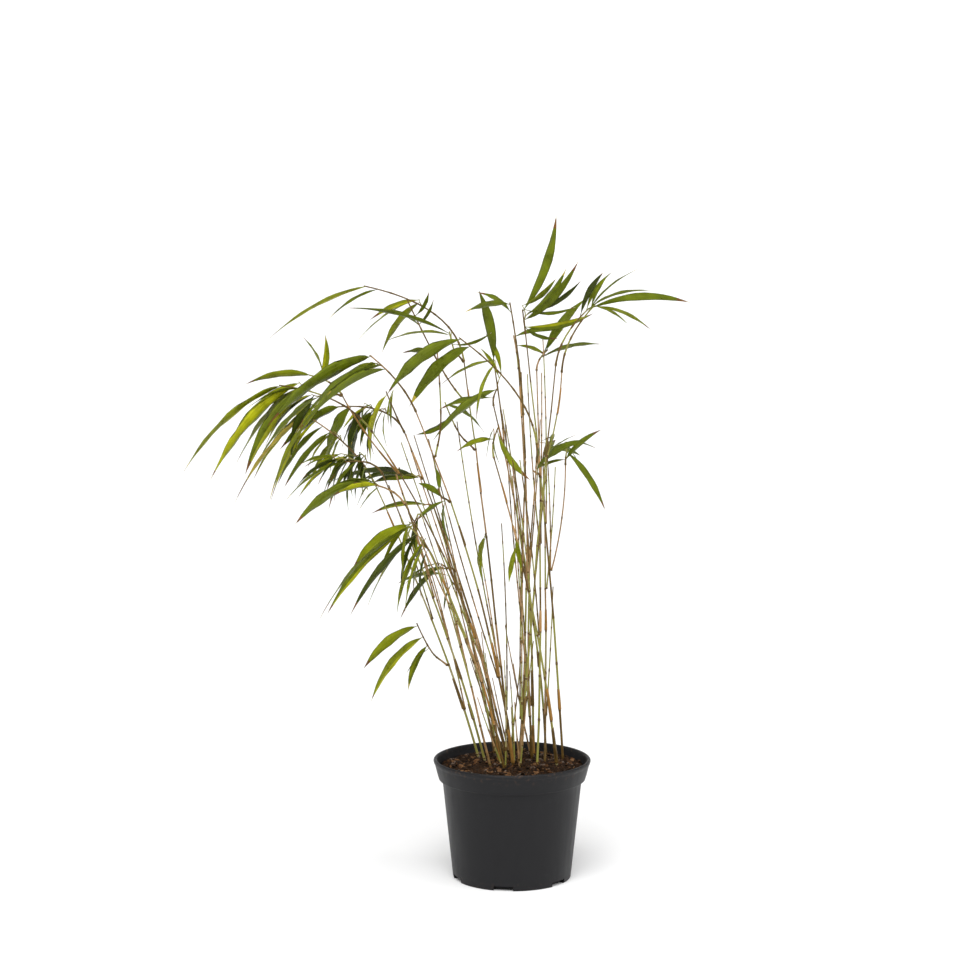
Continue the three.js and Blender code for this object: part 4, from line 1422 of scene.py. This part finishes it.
class BAMBOO_OT_leaves(bpy.types.Operator):
    """Lays a folded leaf on every midrib, with the finishes dealt out by spray"""

    bl_idname = "bamboo.leaves"
    bl_label = "Leaves"

    def execute(self, context):
        look, grown = settings("bamboo_leaves"), plant()
        groups = {"leaves_left": [], "leaves_middle": [], "leaves_right": []}
        nodes = {name: [] for name in groups}
        for mass in grown.masses:
            middle_x = np.mean([b.midrib.point(0.5)[0] for b in mass.blades])
            name = ("leaves_left" if middle_x < LEFT_PART else "leaves_middle" if middle_x < 0
                    else "leaves_right")
            nodes[name].append(mass.name)
            draw = seeded_random(700 + mass.index)
            dealt = SHADES[mass.shade]
            sprays = [dealt[int(draw() * len(dealt))] for _ in mass.twigs]
            for blade in mass.blades:
                tone = sprays[blade.spray] if draw() < 0.6 else dealt[int(draw() * len(dealt))]
                # Leaves on the outer, left side of the clump are the broadest, and have more paler halves. A
                # paler half is partly yellowing and partly painted light, one side of the fold drawn lighter as
                # if it caught the light.
                outer = np.interp(blade.midrib.point(0.5)[0], (-200, 0), (1, 0))
                breadth = look.slender + (look.broad - look.slender) * outer
                paler = int(1 + (1.2 + 1.5 * outer) * draw()) if draw() < 0.15 + 0.45 * outer else 0
                other = min(tone + paler, LIME if tone < LIME else STRAW)
                left, right = (tone, other) if draw() < 0.5 else (other, tone)
                dry_from = 0.82 + 0.12 * draw() if draw() < 0.8 else NEVER
                dead_from = 0.94 if draw() < 0.6 else NEVER
                groups[name].append(blade_strand(
                    blade.midrib, -blade.across, blade.half_width * breadth, blade.length,
                    arch=0.035 * draw() - 0.008, petiole=look.petiole / MM,
                    twist=math.radians(36 * (draw() - 0.5)), fold=0.24 + 0.36 * draw(), phase=draw(),
                    late=1 + 0.7 * (1 - outer) * draw(), finish_left=left, finish_right=right,
                    finish_tip=DRY if draw() < 0.8 else STRAW, dry_from=dry_from, dead_from=dead_from))
        for name, strands in groups.items():
            piece = run_tree(name, strands_mesh(name, strands), blade_tree(), {
                "Section Sides": 8, "Thickness": look.thickness, "Ripple": look.ripple, "Ripples": 3.0,
                **leaf_finishes()}, keep=("across", "along"))
            hand_over(piece, nodes[name])
        return {"FINISHED"}


class BAMBOO_OT_stage(bpy.types.Operator):
    """Sets out the studio floor, the soft lights and the camera"""

    bl_idname = "bamboo.stage"
    bl_label = "Stage"

    def execute(self, context):
        look, scene = settings("bamboo_stage"), context.scene
        profile = [(0, 0), (6, 0), (30, 0), (36, 0.3), (41, 1.2), (45, 3), (47.5, 6), (48.5, 9.5)]
        mesh = turned_mesh("studio_floor", profile, 96)
        mesh.flip_normals()  # the bowl is seen from inside
        mesh.polygons.foreach_set("use_smooth", [True] * len(mesh.polygons))
        mesh.materials.append(floor_finish(tuple(look.floor)))
        add_object("studio_floor", mesh)

        world = bpy.data.worlds.new("Studio")
        world.use_nodes = True
        world.node_tree.nodes["Background"].inputs["Color"].default_value = (1.0, 1.0, 1.0, 1.0)
        world.node_tree.nodes["Background"].inputs["Strength"].default_value = look.sky
        scene.world = world
        for name, toward, width, strength in (
            ("key", (-0.16, -0.66, 0.8), 46, look.key),
            ("fill", (0.8, -0.45, 0.55), 60, look.fill),
        ):
            data = bpy.data.lights.new(name, "SUN")
            data.angle, data.energy = math.radians(width), strength
            lamp = bpy.data.objects.new(name, data)
            scene.collection.objects.link(lamp)
            lamp.rotation_euler = (-Vector(toward)).to_track_quat("-Z", "Y").to_euler()

        data = bpy.data.cameras.new("camera")
        data.lens, data.sensor_width, data.clip_end = look.lens, 36.0, 100.0
        camera = bpy.data.objects.new("camera", data)
        scene.collection.objects.link(camera)
        camera.location = (look.camera_side, -look.distance, look.camera_height)
        camera.rotation_euler = (math.pi / 2 - look.pitch, 0, 0)
        scene.camera = camera
        scene.view_settings.view_transform = "Standard"
        return {"FINISHED"}


class BAMBOO_PT_panel(bpy.types.Panel):
    """Lists the pieces of the potted bamboo"""

    bl_idname = "BAMBOO_PT_panel"
    bl_label = "Potted bamboo"
    bl_space_type = "VIEW_3D"
    bl_region_type = "UI"
    bl_category = "Bamboo"

    def draw(self, context):
        for operator in OPERATORS:
            self.layout.operator(operator.bl_idname)
        for name in SETTINGS:
            box = self.layout.box()
            group = getattr(context.scene, name)
            for key in group.bl_rna.properties.keys():
                if key not in ("rna_type", "name"):
                    box.prop(group, key)


OPERATORS = (BAMBOO_OT_stage, BAMBOO_OT_pot, BAMBOO_OT_compost, BAMBOO_OT_bark, BAMBOO_OT_canes,
             BAMBOO_OT_sheaths, BAMBOO_OT_twigs, BAMBOO_OT_leaves)
SETTINGS = {
    "bamboo_pot": PotSettings, "bamboo_compost": CompostSettings, "bamboo_canes": CaneSettings,
    "bamboo_leaves": LeafSettings, "bamboo_stage": StageSettings,
}


def register():
    for group in SETTINGS.values():
        bpy.utils.register_class(group)
    for name, group in SETTINGS.items():
        setattr(bpy.types.Scene, name, PointerProperty(type=group))
    for operator in OPERATORS:
        bpy.utils.register_class(operator)
    bpy.utils.register_class(BAMBOO_PT_panel)


def unregister():
    bpy.utils.unregister_class(BAMBOO_PT_panel)
    for operator in reversed(OPERATORS):
        bpy.utils.unregister_class(operator)
    for name, group in SETTINGS.items():
        delattr(bpy.types.Scene, name)
        bpy.utils.unregister_class(group)


def main():
    register()
    bpy.ops.bamboo.stage()
    bpy.ops.bamboo.pot()
    bpy.ops.bamboo.compost()
    bpy.ops.bamboo.bark()
    bpy.ops.bamboo.canes()
    bpy.ops.bamboo.sheaths()
    bpy.ops.bamboo.twigs()
    bpy.ops.bamboo.leaves()


if __name__ == "__main__":
    main()
